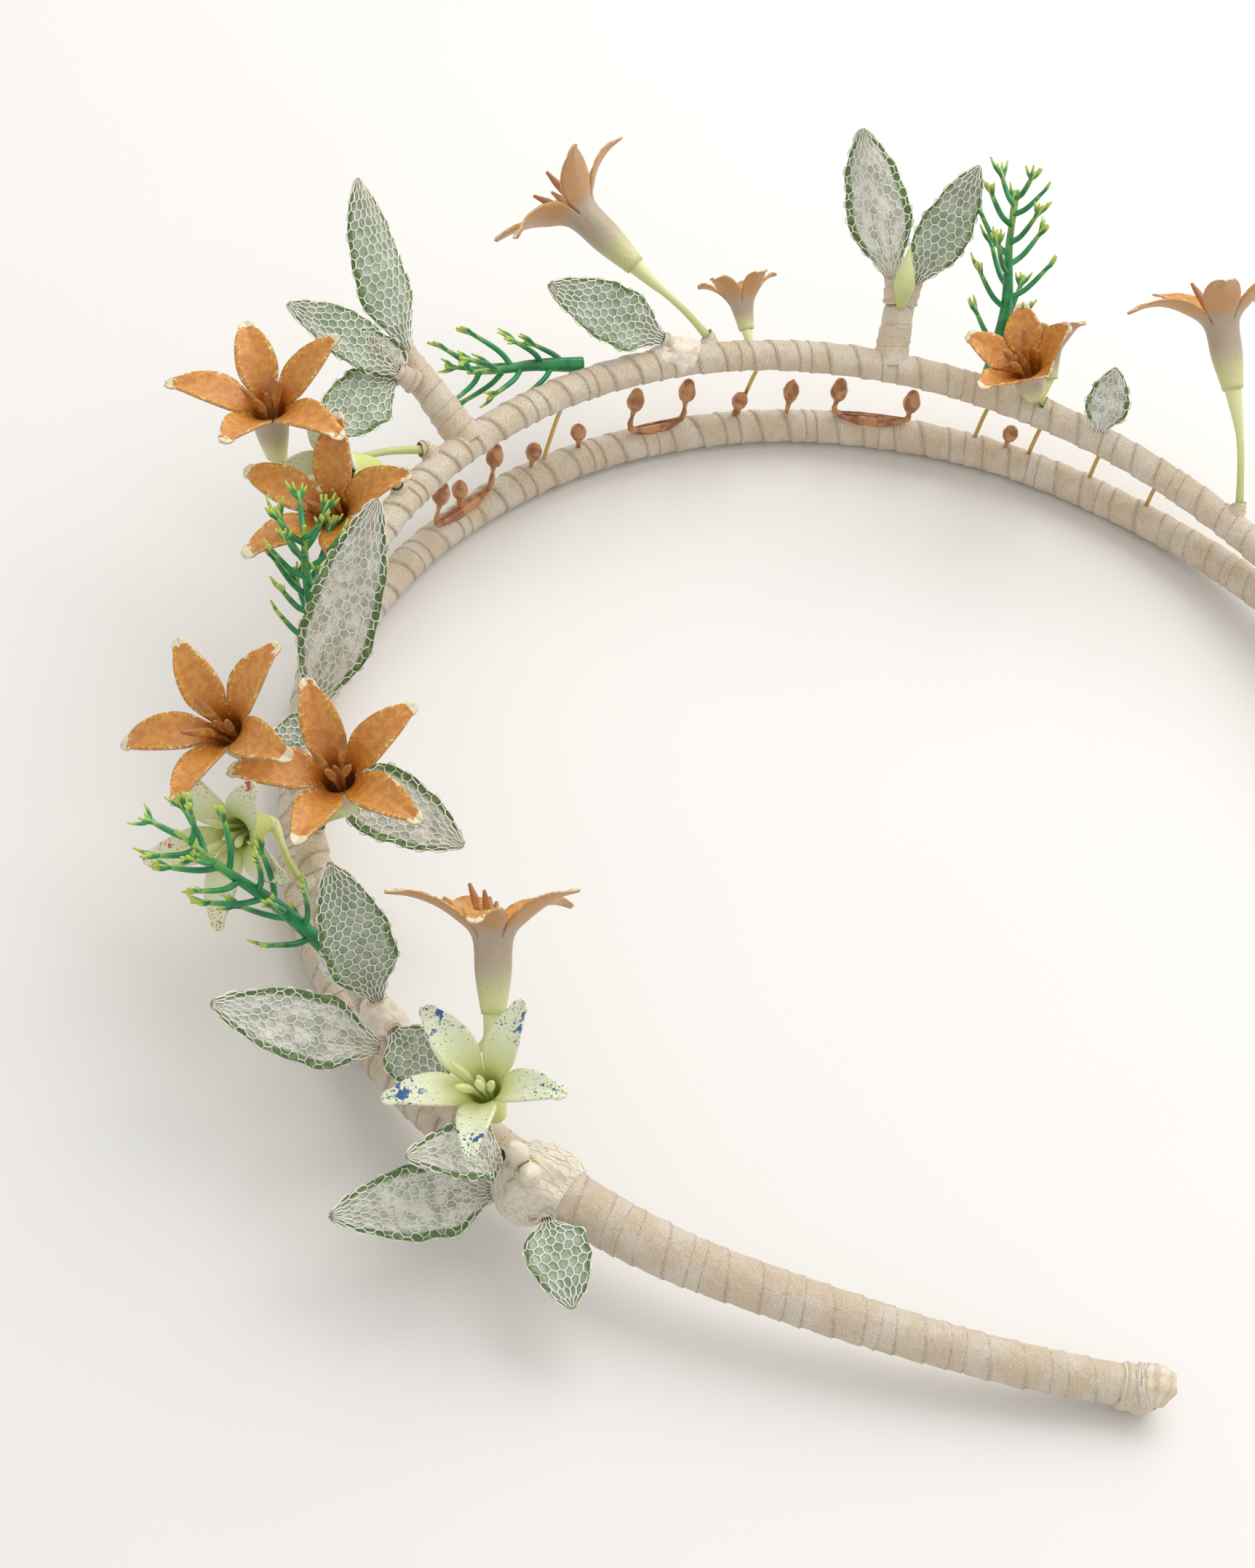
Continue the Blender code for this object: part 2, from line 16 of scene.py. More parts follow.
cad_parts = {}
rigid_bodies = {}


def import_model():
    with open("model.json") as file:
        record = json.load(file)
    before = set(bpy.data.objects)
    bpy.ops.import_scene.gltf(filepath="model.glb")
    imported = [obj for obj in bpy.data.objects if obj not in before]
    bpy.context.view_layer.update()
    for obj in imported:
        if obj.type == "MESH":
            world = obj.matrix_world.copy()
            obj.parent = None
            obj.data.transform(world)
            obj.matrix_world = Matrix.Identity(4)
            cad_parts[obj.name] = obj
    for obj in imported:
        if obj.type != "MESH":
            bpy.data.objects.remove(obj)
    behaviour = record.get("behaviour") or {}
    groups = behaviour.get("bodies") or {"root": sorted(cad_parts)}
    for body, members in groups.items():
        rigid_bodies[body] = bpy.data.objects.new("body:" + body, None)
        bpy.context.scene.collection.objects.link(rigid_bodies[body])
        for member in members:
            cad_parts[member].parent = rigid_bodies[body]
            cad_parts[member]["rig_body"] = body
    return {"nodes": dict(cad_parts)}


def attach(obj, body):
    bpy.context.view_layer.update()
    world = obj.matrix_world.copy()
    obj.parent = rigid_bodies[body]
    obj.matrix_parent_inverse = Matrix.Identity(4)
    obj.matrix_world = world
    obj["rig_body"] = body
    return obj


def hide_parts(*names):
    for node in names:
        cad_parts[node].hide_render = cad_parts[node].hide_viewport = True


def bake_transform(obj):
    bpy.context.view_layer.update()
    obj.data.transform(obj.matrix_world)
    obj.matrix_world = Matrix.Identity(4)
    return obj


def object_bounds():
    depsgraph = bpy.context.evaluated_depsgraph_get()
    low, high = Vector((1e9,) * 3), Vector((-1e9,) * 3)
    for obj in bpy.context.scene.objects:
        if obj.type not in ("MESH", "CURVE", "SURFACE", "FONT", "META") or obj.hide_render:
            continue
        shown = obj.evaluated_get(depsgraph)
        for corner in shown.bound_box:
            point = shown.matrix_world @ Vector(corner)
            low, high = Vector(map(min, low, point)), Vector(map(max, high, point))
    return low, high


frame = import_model()
cad_low, cad_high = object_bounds()
MM = 0.001


# ---------------------------------------------------------------- view, light and floor
# A long lens looks down over the near arm, with its top turned a little.  The light is a
# bright room with one big soft window on the right, and the floor is plain and pale.
CAMERA_PLACE = Vector((-294.3, -212.3, 446.6)) * MM
CAMERA_AIM = Vector((-17.8, 26.3, 0.0)) * MM
CAMERA_ROLL = math.radians(11.8)
CAMERA_LENS = 102.7
WINDOW_PLACE = Vector((420.0, 120.0, 520.0)) * MM
WINDOW_WIDTH = 0.75
WINDOW_POWER = 3.3
WINDOW_COLOUR = (1.0, 0.985, 0.96)
ROOM_COLOUR = (1.0, 0.985, 0.965, 1.0)
ROOM_STRENGTH = 0.78
FLOOR_HALF = 1.5
FLOOR_COLOUR = (0.83, 0.82, 0.805)
FLOOR_SHADE = (0.80, 0.79, 0.775)

lens = bpy.data.cameras.new("view")
lens.lens = CAMERA_LENS
lens.clip_start = 0.01
camera = bpy.data.objects.new("view", lens)
bpy.context.scene.collection.objects.link(camera)
camera.location = CAMERA_PLACE
camera.rotation_mode = "QUATERNION"
level_view = (CAMERA_AIM - CAMERA_PLACE).to_track_quat("-Z", "Y")
camera.rotation_quaternion = level_view @ Quaternion((0.0, 0.0, 1.0), CAMERA_ROLL)
bpy.context.scene.camera = camera

window_light = bpy.data.lights.new("window", "AREA")
window_light.size = WINDOW_WIDTH
window_light.energy = WINDOW_POWER
window_light.color = WINDOW_COLOUR
window = bpy.data.objects.new("window", window_light)
bpy.context.scene.collection.objects.link(window)
window.location = WINDOW_PLACE
window.rotation_mode = "QUATERNION"
window.rotation_quaternion = (-WINDOW_PLACE).to_track_quat("-Z", "Y")

room = bpy.data.worlds.new("room")
room.use_nodes = True
room.node_tree.nodes["Background"].inputs["Color"].default_value = ROOM_COLOUR
room.node_tree.nodes["Background"].inputs["Strength"].default_value = ROOM_STRENGTH
bpy.context.scene.world = room
bpy.context.scene.view_settings.view_transform = "Standard"


class Paint:
    """One shader value.  Python's operators on it add Math nodes to its material."""

    def __init__(self, tree, socket):
        self.tree = tree
        self.socket = socket

    def join(self, operation, first, second):
        """Math node of two values."""
        made = self.tree.nodes.new("ShaderNodeMath")
        made.operation = operation
        for place, value in zip(made.inputs, (first, second)):
            plug(self.tree, place, value)
        return Paint(self.tree, made.outputs[0])

    def __add__(self, other):
        return self.join("ADD", self, other)

    def __radd__(self, other):
        return self.join("ADD", other, self)

    def __sub__(self, other):
        return self.join("SUBTRACT", self, other)

    def __rsub__(self, other):
        return self.join("SUBTRACT", other, self)

    def __mul__(self, other):
        return self.join("MULTIPLY", self, other)

    def __rmul__(self, other):
        return self.join("MULTIPLY", other, self)


def plug(tree, place, value):
    """Links a Paint to a socket, or sets the socket."""
    if isinstance(value, Paint):
        tree.links.new(value.socket, place)
    else:
        place.default_value = value


class Finish:
    """A material with one shader.  node() adds any other node and put() feeds the shader."""

    def __init__(self, name, constants):
        self.material = bpy.data.materials.new(name)
        self.material.use_nodes = True
        self.tree = self.material.node_tree
        self.shader = self.tree.nodes["Principled BSDF"]
        for socket, value in constants.items():
            self.shader.inputs[socket].default_value = value

    def node(self, kind, settings, sockets, output=0):
        made = self.tree.nodes.new(kind)
        for setting, value in settings.items():
            setattr(made, setting, value)
        for socket, value in sockets.items():
            plug(self.tree, made.inputs[socket], value)
        return Paint(self.tree, made.outputs[output])

    def put(self, socket, value):
        plug(self.tree, self.shader.inputs[socket], value)

    def told(self, label):
        """A value that the mesh carries at its points."""
        return self.node("ShaderNodeAttribute", {"attribute_name": label}, {}, 2)

    def cloud(self, size, detail=2.0):
        """Noise from 0 to 1 with blobs of a size in metres."""
        place = self.node("ShaderNodeTexCoord", {}, {}, 3)
        place = self.node("ShaderNodeMapping", {}, {"Vector": place, "Scale": (1.0 / size,) * 3})
        return self.node("ShaderNodeTexNoise", {}, {"Vector": place, "Scale": 1.0, "Detail": detail})

    def ramp(self, value, low, high):
        """Smooth step from 0 at low to 1 at high."""
        settings = {"interpolation_type": "SMOOTHSTEP"}
        return self.node("ShaderNodeMapRange", settings, {0: value, 1: low, 2: high})

    def tint(self, share, first, second):
        """First colour where share is 0, second where it is 1."""
        first, second = [c if isinstance(c, Paint) else (*c, 1.0) for c in (first, second)]
        settings = {"data_type": "RGBA"}
        return self.node("ShaderNodeMix", settings, {0: share, 6: first, 7: second}, 2)

    def relief(self, height, depth):
        """Bump of a depth in metres that feeds the shader's normal."""
        self.put("Normal", self.node("ShaderNodeBump", {}, {"Distance": depth, "Height": height}))


glaze = Finish("pale_floor", {"Roughness": 0.42})
glaze.put("Base Color", glaze.tint(glaze.cloud(0.05), FLOOR_COLOUR, FLOOR_SHADE))
floor_mesh = bpy.data.meshes.new("floor")
floor_form = bmesh.new()
bmesh.ops.create_grid(floor_form, x_segments=1, y_segments=1, size=FLOOR_HALF)
floor_form.to_mesh(floor_mesh)
floor_form.free()
floor_mesh.materials.append(glaze.material)
floor = bpy.data.objects.new("floor", floor_mesh)
bpy.context.scene.collection.objects.link(floor)
floor.location.z = cad_low.z


# ---------------------------------------------------------------- bands
# Two wires run round the hoop.  Each is wound with ivory silk ribbon, lapped turn over turn,
# so its surface steps up at every turn and puckers where the ribbon was pulled.
BAND_NODES = {"upper_band": 2.15 * MM, "lower_band": 2.3 * MM}
RIBBON_PITCH = 2.9 * MM
RIBBON_LAP = 0.17 * MM
RIBBON_PUCKER = 0.1 * MM
ROUND_STEPS = 40
ACROSS_STEPS = 7
IVORY = (0.82, 0.68, 0.50)
IVORY_PALE = (0.88, 0.79, 0.66)
# Brown of the painted shade in the creases between turns of ribbon.
PAINTED_CREASE_SHADE = (0.50, 0.37, 0.24)
WIRE_SIDES = 6
PATH_STEP = 0.25 * MM


def joined_form(node):
    """A CAD node's mesh with its faces joined at their corners."""
    form = bmesh.new()
    form.from_mesh(frame["nodes"][node].data)
    bmesh.ops.remove_doubles(form, verts=form.verts, dist=0.01 * MM)
    return form


def unique_points(node):
    """The corners of a CAD node, each once."""
    form = joined_form(node)
    points = np.array([vertex.co[:] for vertex in form.verts])
    form.free()
    return points


def body_of(node):
    """The body that a CAD node rides on."""
    return frame["nodes"][node]["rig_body"]


def ring_centres(points, keys, sides):
    """Centres of a CAD tube's rings, in the order of their keys."""
    order = np.argsort(keys)
    return np.array([points[ring].mean(axis=0) for ring in np.split(order, len(order) // sides)])


def unit(vectors):
    """Vectors of length 1 along the last axis."""
    return vectors / np.linalg.norm(vectors, axis=-1, keepdims=True)


def curve_between(before, near, far, after, share):
    """Smooth curve from near to far, given the points on either side of them."""
    square = 2 * before - 5 * near + 4 * far - after
    cube = 3 * near - before - 3 * far + after
    return near + 0.5 * ((far - before) * share + square * share**2 + cube * share**3)


def even_path(points, spacing):
    """Evenly spaced points on the smooth curve through the given ones."""
    points = np.array(points, float)
    ends = np.vstack((2 * points[0] - points[1], points, 2 * points[-1] - points[-2]))
    share = np.linspace(0.0, 1.0, 16, endpoint=False)[:, None]
    curve = [curve_between(*four, share) for four in zip(ends, ends[1:], ends[2:], ends[3:])]
    curve = np.vstack((*curve, points[-1:]))
    reach = np.concatenate(([0.0], np.cumsum(np.linalg.norm(np.diff(curve, axis=0), axis=1))))
    wanted = np.linspace(0.0, reach[-1], max(round(reach[-1] / spacing), 2) + 1)
    return np.column_stack([np.interp(wanted, reach, curve[:, axis]) for axis in range(3)])


def path_length(path):
    """Length along a path."""
    return float(np.linalg.norm(np.diff(path, axis=0), axis=1).sum())


def crosswise(axis, hint):
    """Two unit vectors across an axis, the first also across the hint."""
    across = unit(np.cross(axis, hint))
    return across, np.cross(axis, across)


def cross_vectors(path):
    """Two unit vectors across a path at each point, turning as little as they can."""
    tangent = unit(np.gradient(path, axis=0))
    side = np.empty_like(path)
    carried = np.cross(tangent[0], (0.13, 0.21, 1.0))
    for index, along in enumerate(tangent):
        carried = unit(carried - along * (carried @ along))
        side[index] = carried
    return side, np.cross(tangent, side)


def ring_angles(steps):
    """Angles of the points round a tube, as a row."""
    return np.linspace(0.0, 2.0 * math.pi, steps, endpoint=False)[None, :]


def ring_outward(path, angle):
    """Unit vectors out of a path at each point and angle."""
    across, lift = cross_vectors(path)
    return across[:, None] * np.cos(angle)[..., None] + lift[:, None] * np.sin(angle)[..., None]


def ring_faces(rows, steps):
    """Quads of a closed tube of rows, with its two end faces."""
    index = np.arange(rows * steps).reshape(rows, steps)
    after = np.roll(index, -1, axis=1)
    quads = np.stack((index[:-1], after[:-1], after[1:], index[1:]), axis=-1).reshape(-1, 4)
    return [tuple(quad) for quad in quads] + [tuple(index[0][::-1]), tuple(index[-1])]


def mesh_of(name, points, faces):
    """A mesh from points and faces."""
    data = bpy.data.meshes.new(name)
    data.from_pydata([tuple(point) for point in points], [], [tuple(face) for face in faces])
    return data


def placed(name, data, finish, body, stands_for=()):
    """A smooth object of a mesh and a finish, riding on a body."""
    data.shade_smooth()
    data.materials.append(finish.material)
    made = bpy.data.objects.new(name, data)
    bpy.context.scene.collection.objects.link(made)
    if body:
        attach(made, body)
    if stands_for:
        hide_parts(*stands_for)
    return made


def piece(name, points, faces, finish, body, paint=None, stands_for=()):
    """A mesh with its paint values and finish, riding on a body."""
    data = mesh_of(name, points, faces)
    for label, values in (paint or {}).items():
        channel = data.attributes.new(label, "FLOAT", "POINT")
        channel.data.foreach_set("value", np.asarray(values, np.float32).ravel())
    form = bmesh.new()
    form.from_mesh(data)
    bmesh.ops.dissolve_degenerate(form, edges=form.edges, dist=0.001 * MM)
    form.to_mesh(data)
    form.free()
    return placed(name, data, finish, body, stands_for)


def crumple(points, size, seed):
    """Noise from -1 to 1 at each point, with blobs of a size in metres."""
    shift = Vector((seed, 2.0 * seed, 3.0 * seed))
    return np.array([noise.noise(Vector(point) / size + shift) for point in points])


def wound(path, radius, pitch, seed):
    """Points, faces and paint of a ribbon wound round a path, each turn lapping the last."""
    length = path_length(path)
    turn = np.arange(-1.0, length / pitch, 1.0 / ROUND_STEPS)
    across = np.linspace(0.0, 1.0, ACROSS_STEPS)
    lay = turn[:, None] + across[None, :]
    uneven = 0.26 * np.sin(1.7 * lay + seed) + 0.2 * np.sin(0.61 * lay + 2.0 * seed)
    along = np.clip(pitch * (lay + uneven), 0.0, length).ravel()
    place = along / length * (len(path) - 1)
    steps = np.arange(len(path))
    side, lift = cross_vectors(path)

    def at(rows):
        return np.column_stack([np.interp(place, steps, rows[:, axis]) for axis in range(3)])

    angle = np.repeat(2.0 * math.pi * turn, ACROSS_STEPS)
    out = at(side) * np.cos(angle)[:, None] + at(lift) * np.sin(angle)[:, None]
    lap = np.tile(across, len(turn))
    swell = 0.5 * np.sin(0.47 * lay.ravel() + seed) * np.sin(0.19 * lay.ravel() + 1.3 * seed)
    base = np.interp(along, (0.0, length), radius) - 0.7 * RIBBON_LAP
    reach = base + RIBBON_LAP * (lap**1.4 + 0.8 * swell)
    points = at(path) + out * reach[:, None]
    rough = crumple(points, 1.1 * MM, seed) + 0.5 * crumple(points, 0.45 * MM, seed + 7.0)
    points = points + out * (RIBBON_PUCKER * rough)[:, None]
    count = len(turn)
    index = np.arange(count * ACROSS_STEPS).reshape(count, ACROSS_STEPS)
    strip = np.stack((index[:-1, :-1], index[:-1, 1:], index[1:, 1:], index[1:, :-1]), axis=-1)
    low, high = index[ROUND_STEPS:, 0], index[:-ROUND_STEPS, -1]
    wall = np.stack((high[:-1], low[:-1], low[1:], high[1:]), axis=-1)
    faces = [tuple(face) for face in np.vstack((strip.reshape(-1, 4), wall))]
    return points, faces, {"lap": lap, "along": along / MM}


def silk(name):
    """Ivory silk ribbon: satin with fine ribs, painted shade in its creases, and a few pulled threads.
    """
    finish = Finish(name, {"Roughness": 0.5, "Sheen Weight": 0.35, "Sheen Roughness": 0.4,
                           "Sheen Tint": (1.0, 0.95, 0.86, 1.0), "Subsurface Weight": 0.05,
                           "Subsurface Radius": (0.0012, 0.0009, 0.0006)})
    lap, along = finish.told("lap"), finish.told("along")
    blotch = finish.ramp(finish.cloud(4.0 * MM, 3.0), 0.42, 0.62)
    fibre = finish.cloud(0.22 * MM, 3.0)
    weave = finish.node("ShaderNodeMath", {"operation": "SINE"}, {0: along * 24.0 + fibre * 5.0})
    # Painted shade: the low edge of each turn, tucked under the turn before, is darkened in patches
    # towards brown.
    crease = finish.ramp(lap, 0.16, 0.0) * finish.ramp(finish.cloud(1.6 * MM), 0.35, 0.6)
    soil = finish.ramp(finish.cloud(7.0 * MM, 4.0), 0.66, 0.78)
    colour = finish.tint(blotch, IVORY, IVORY_PALE)
    colour = finish.tint(fibre * 0.35, colour, (0.70, 0.56, 0.40))
    colour = finish.tint(crease * 0.4, colour, PAINTED_CREASE_SHADE)
    colour = finish.tint(soil * 0.35, colour, (0.42, 0.37, 0.38))
    finish.put("Base Color", colour)
    finish.put("Roughness", 0.34 + fibre * 0.25)
    pucker = finish.cloud(0.8 * MM, 4.0)
    finish.relief(weave * 0.3 + fibre + pucker * 1.6, 0.16 * MM)
    return finish


ribbon_silk = silk("ribbon_silk")


def wind(name, path, radius, pitch, seed, body, stands_for=()):
    """Winds silk ribbon round a path as one piece."""
    skin, faces, paint = wound(path, radius, pitch, seed)
    piece(name, skin, faces, ribbon_silk, body, paint, stands_for)


bands = {}
for number, (band_name, band_radius) in enumerate(BAND_NODES.items()):
    core = unique_points(band_name + "_wire")
    centres = ring_centres(core, np.arctan2(-core[:, 0], core[:, 1]), WIRE_SIDES)
    bands[band_name] = even_path(centres, PATH_STEP)
    wind(band_name + "_ribbon", bands[band_name], (band_radius, band_radius), RIBBON_PITCH,
         1.0 + number, "hoop", [band_name + "_wrap"])


# ---------------------------------------------------------------- arms
# Behind the ears both bands are bound into one thicker arm.  Its ribbon is folded over the
# end and stitched down, which leaves a puckered knob that turns up a little.
ARM_RADII = (3.4 * MM, 2.5 * MM)
KNOB_SIDES = 8

for number, side in enumerate(("near", "far")):
    arm_name = side + "_arm"
    core = unique_points(arm_name + "_wire")
    keys = np.abs(np.arctan2(-core[:, 0], core[:, 1]))
    centres = ring_centres(core, keys, WIRE_SIDES)
    bands[arm_name] = even_path(centres, PATH_STEP)
    wind(arm_name + "_ribbon", bands[arm_name], ARM_RADII, RIBBON_PITCH, 3.0 + number, arm_name,
         [arm_name + "_wrap"])
    knob = unique_points(arm_name + "_end")
    along = unit(centres[-1] - centres[-2])
    knob_path = ring_centres(knob, knob @ along, KNOB_SIDES)
    knob_path = even_path(np.vstack((centres[-1], knob_path)), 0.1 * MM)
    count, steps = len(knob_path), 40
    share = np.linspace(0.0, 1.0, count)[:, None]
    angle = ring_angles(steps)
    width = ARM_RADII[1] + 0.45 * MM * np.sin(math.pi * share**0.8)
    width = width * np.sqrt(np.clip(1.0 - np.clip((share - 0.8) / 0.2, 0.0, 1.0) ** 2, 0.02, 1.0))
    fold = 0.16 * MM * np.sin(7.0 * angle + 9.0 * share) * share + 0.12 * MM * np.sin(16.0 * share)
    out = ring_outward(knob_path, angle)
    skin = (knob_path[:, None] + out * (width + fold)[..., None]).reshape(-1, 3)
    skin = skin + out.reshape(-1, 3) * (0.22 * MM * crumple(skin, 0.9 * MM, 5.0 + number))[:, None]
    faces = ring_faces(count, steps)
    # Its lap values set where the silk paints crease shade on the knob.
    paint = {"lap": np.repeat(np.abs(np.sin(9.0 * share)), steps),
             "along": np.repeat(share * 5.0, steps)}
    piece(arm_name + "_bound_end", skin, faces, ribbon_silk, arm_name, paint,
          [arm_name + "_end"])


# ---------------------------------------------------------------- leaves
# A leaf is a moulded blade, green at its rim and tip with a pale fill, and a sleeve of ivory
# tulle is drawn over it.  The sleeve has as many cells round at the root as in the middle,
# so there it gathers into a gauzy neck, which ribbon binds to the band.
BLADE_THICK = 0.42 * MM
RIM_BEAD = 0.2 * MM
NET_CELL = 1.2 * MM
NET_THREAD = 0.19 * MM
NET_LIFT = 0.22 * MM
TULLE_IVORY = (0.98, 0.96, 0.86)
ROW_POINTS = 6
LEAF_GRID = (49, 28)
SMALL_LEAF_GRID = (33, 24)
LEAF_NODES = sorted(name for name in frame["nodes"] if name.startswith("leaf_"))
WHITE_FILLED = ("leaf_side_outer", "leaf_left_tall", "leaf_left_inner", "leaf_near_knot_long",
                "leaf_near_knot_arched", "leaf_right_tall")


def nearest_band(point):
    """Distance from a point to the nearest band or arm, and the nearest point on it."""
    found = [(np.linalg.norm(path - point, axis=1).min(), path) for path in bands.values()]
    distance, path = min(found, key=lambda entry: entry[0])
    return distance, path[np.linalg.norm(path - point, axis=1).argmin()]


def root_first(rows):
    """The rows in the order that starts at the band."""
    first, last = nearest_band(rows[0].mean(axis=0))[0], nearest_band(rows[-1].mean(axis=0))[0]
    return rows if first < last else rows[::-1]


def main_axis(points):
    """Direction in which the points spread most."""
    return np.linalg.svd(points - points.mean(axis=0))[2][0]


def smooth_rows(rows, count):
    """Rows of a surface, with a count of rows on smooth curves through the given ones."""
    rows = np.asarray(rows, float)
    ends = np.concatenate((2 * rows[:1] - rows[1:2], rows, 2 * rows[-1:] - rows[-2:-1]))
    place = np.linspace(0.0, len(rows) - 1.0, count)
    start = np.minimum(place.astype(int), len(rows) - 2)
    share = (place - start).reshape(-1, *[1] * (rows.ndim - 1))
    return curve_between(*(ends[start + step] for step in range(4)), share)


def blade_lines(node):
    """Middle, side and face directions and half width of a CAD blade, root to tip."""
    points = unique_points(node)
    order = np.argsort(points @ main_axis(points))
    rows = root_first(points[order].reshape(-1, ROW_POINTS, 3))
    middles, sides, dishes = [], [], []
    for row in rows[:-1]:
        across = main_axis(row)
        if sides and across @ sides[-1] < 0.0:
            across = -across
        offset = np.abs((row - row.mean(axis=0)) @ across)
        centre = row[np.argsort(offset)[:2]].mean(axis=0)
        middles.append(centre)
        sides.append(across * offset.max())
        dishes.append(row.mean(axis=0) - centre)
    middles.append(rows[-1].mean(axis=0))
    tangent = np.gradient(np.array(middles), axis=0)
    sides.append(unit(sides[-1]) * 0.25 * MM)
    face = unit(np.cross(tangent, np.array(sides)))
    if face[len(dishes) // 2] @ dishes[len(dishes) // 2] < 0.0:
        face = -face
    return np.array(middles), np.array(sides), face


class Blade:
    """Smooth blade: skin() gives points round it at shares of its length."""

    def __init__(self, rows, seed):
        self.rows = rows
        self.seed = seed
        self.half = np.linalg.norm(self.rows[1], axis=1).max()
        self.length = path_length(self.rows[0])

    def skin(self, share, turn, lift, bead):
        """Points at shares along the blade and turns round it, a lift off its surface."""
        count = 81
        middle, side, face = (smooth_rows(row, count) for row in self.rows)
        steps = np.linspace(0.0, 1.0, count)

        def at(rows):
            return np.stack([np.interp(share, steps, rows[:, axis]) for axis in range(3)], axis=-1)

        outline = np.sin(math.pi * np.clip(share, 0.0, 1.0) ** 0.85) ** 0.66
        outline = outline * (0.4 + 0.6 * np.clip(share / 0.3, 0.0, 1.0) ** 1.3)
        wave = 1.0 + 0.025 * np.sin(21.0 * share + self.seed) + 0.02 * np.sin(37.0 * share)
        half = np.maximum(self.half * outline * wave, 0.75 * MM * (1.0 - share) ** 0.5 + 0.1 * MM)
        lateral = np.cos(turn)
        fall = 1.0 - lateral**2
        thick = 0.5 * BLADE_THICK + bead * np.exp(-((1.0 - np.abs(lateral)) / 0.12) ** 2)
        ripple = 0.28 * MM * np.sin(17.0 * share + 2.0 * self.seed) * lateral**2 * np.sign(lateral)
        dish = 0.22 * half * lateral**2 + ripple * outline - 0.2 * MM * np.exp(-(lateral / 0.13) ** 2)
        rise = dish + (thick * np.sqrt(np.maximum(fall, 0.0)) + lift) * np.sin(turn)
        reach = (half + lift * np.abs(lateral)) * lateral
        across, up = unit(at(side)), unit(at(face))
        return at(middle) + across * reach[..., None] + up * rise[..., None]


def leaf_finish(name, fill, fill_dark, cover):
    """Moulded leaf: green at the rim and tip, with a pale brushed fill that wears to green."""
    finish = Finish(name, {"Roughness": 0.6, "Subsurface Weight": 0.2,
                           "Subsurface Radius": (0.0015, 0.0015, 0.0008)})
    side, reach = finish.told("side"), finish.told("reach")
    patch = finish.cloud(1.6 * MM, 3.0)
    rim = finish.ramp(side + patch * 0.25 + finish.ramp(reach, 0.8, 1.0) * 0.3, cover, cover + 0.12)
    rim = rim * finish.ramp(reach, 0.05, 0.2)
    grain = finish.node("ShaderNodeCombineXYZ", {}, {"X": side * 22.0, "Y": reach * 5.0, "Z": patch})
    streak = finish.node("ShaderNodeTexNoise", {}, {"Vector": grain, "Scale": 1.0, "Detail": 3.0})
    colour = finish.tint(finish.ramp(patch + streak * 0.5, 0.6, 0.9), fill_dark, fill)
    colour = finish.tint(finish.ramp(streak, 0.36, 0.26) * 0.8, colour, (0.26, 0.33, 0.19))
    green = finish.tint(finish.ramp(reach, 0.86, 1.0), (0.10, 0.19, 0.055), (0.33, 0.52, 0.27))
    green = finish.tint(finish.ramp(finish.cloud(0.9 * MM), 0.5, 0.6), green, (0.20, 0.33, 0.12))
    finish.put("Base Color", finish.tint(rim, colour, green))
    finish.put("Roughness", 0.75 - rim * 0.25)
    finish.relief(streak + patch, 0.12 * MM)
    return finish


white_leaf = leaf_finish("white_filled_leaf", (0.88, 0.88, 0.84), (0.50, 0.54, 0.47), 0.84)
grey_leaf = leaf_finish("grey_green_leaf", (0.50, 0.56, 0.47), (0.30, 0.40, 0.28), 0.9)
tulle = Finish("ivory_tulle", {"Base Color": (*TULLE_IVORY, 1.0), "Roughness": 0.8,
                               "Sheen Weight": 0.3})
thread_shade = tulle.ramp(tulle.cloud(3.0 * MM), 0.4, 0.62)
tulle.put("Base Color", tulle.tint(thread_shade, TULLE_IVORY, (0.90, 0.84, 0.70)))


def net(columns, rows, seed):
    """Cells of a hexagon net that closes round: corners as shares round and along, and faces."""
    rng = random.Random(seed)
    around, shares = [], []
    for row in range(rows + 1):
        for column in range(columns):
            zigzag = -0.18 if (row + column) % 2 else 0.18
            around.append((column + rng.uniform(-0.16, 0.16)) / columns % 1.0)
            shares.append((row + zigzag + rng.uniform(-0.1, 0.1)) / rows)
    cells = []
    for row in range(rows):
        for column in range(row % 2, columns, 2):
            low = [row * columns + (column + step) % columns for step in range(3)]
            high = [place + columns for place in reversed(low)]
            cells.append(low + high)
    return np.array(around), np.array(shares), cells


def leaf(blade, node, name, body, finish, grid, seed, bead, stands_for=()):
    """A blade, and a net over it whose cells are of even width across."""
    rows, steps = grid
    share = np.repeat(np.linspace(0.0, 1.0, rows), steps)
    turn = np.tile(np.linspace(0.0, 2.0 * math.pi, steps, endpoint=False), rows)
    skin = blade.skin(share, turn, 0.0, bead)
    paint = {"side": np.abs(np.cos(turn)), "reach": share}
    piece(name, skin, ring_faces(rows, steps), finish, body, paint, stands_for)
    columns = 2 * max(round(4.0 * blade.half / NET_CELL), 6)
    around, shares, cells = net(columns, round(blade.length / NET_CELL), seed)
    turn = np.arccos(1.0 - 4.0 * np.minimum(around, 1.0 - around))
    turn = np.where(around < 0.5, turn, 2.0 * math.pi - turn)
    threads = blade.skin(np.clip(shares * 0.985, -0.01, 0.995), turn, NET_LIFT, bead)
    net_piece(node + "_net", threads, cells, NET_THREAD, body)


def net_piece(name, points, cells, thread, body):
    """Threads along the sides of the cells."""
    data = mesh_of(name, points, cells)
    form = bmesh.new()
    form.from_mesh(data)
    bmesh.ops.wireframe(form, faces=form.faces, thickness=thread, offset=0.0, use_replace=True,
                        use_boundary=True, use_even_offset=False)
    form.to_mesh(data)
    form.free()
    return placed(name, data, tulle, body)


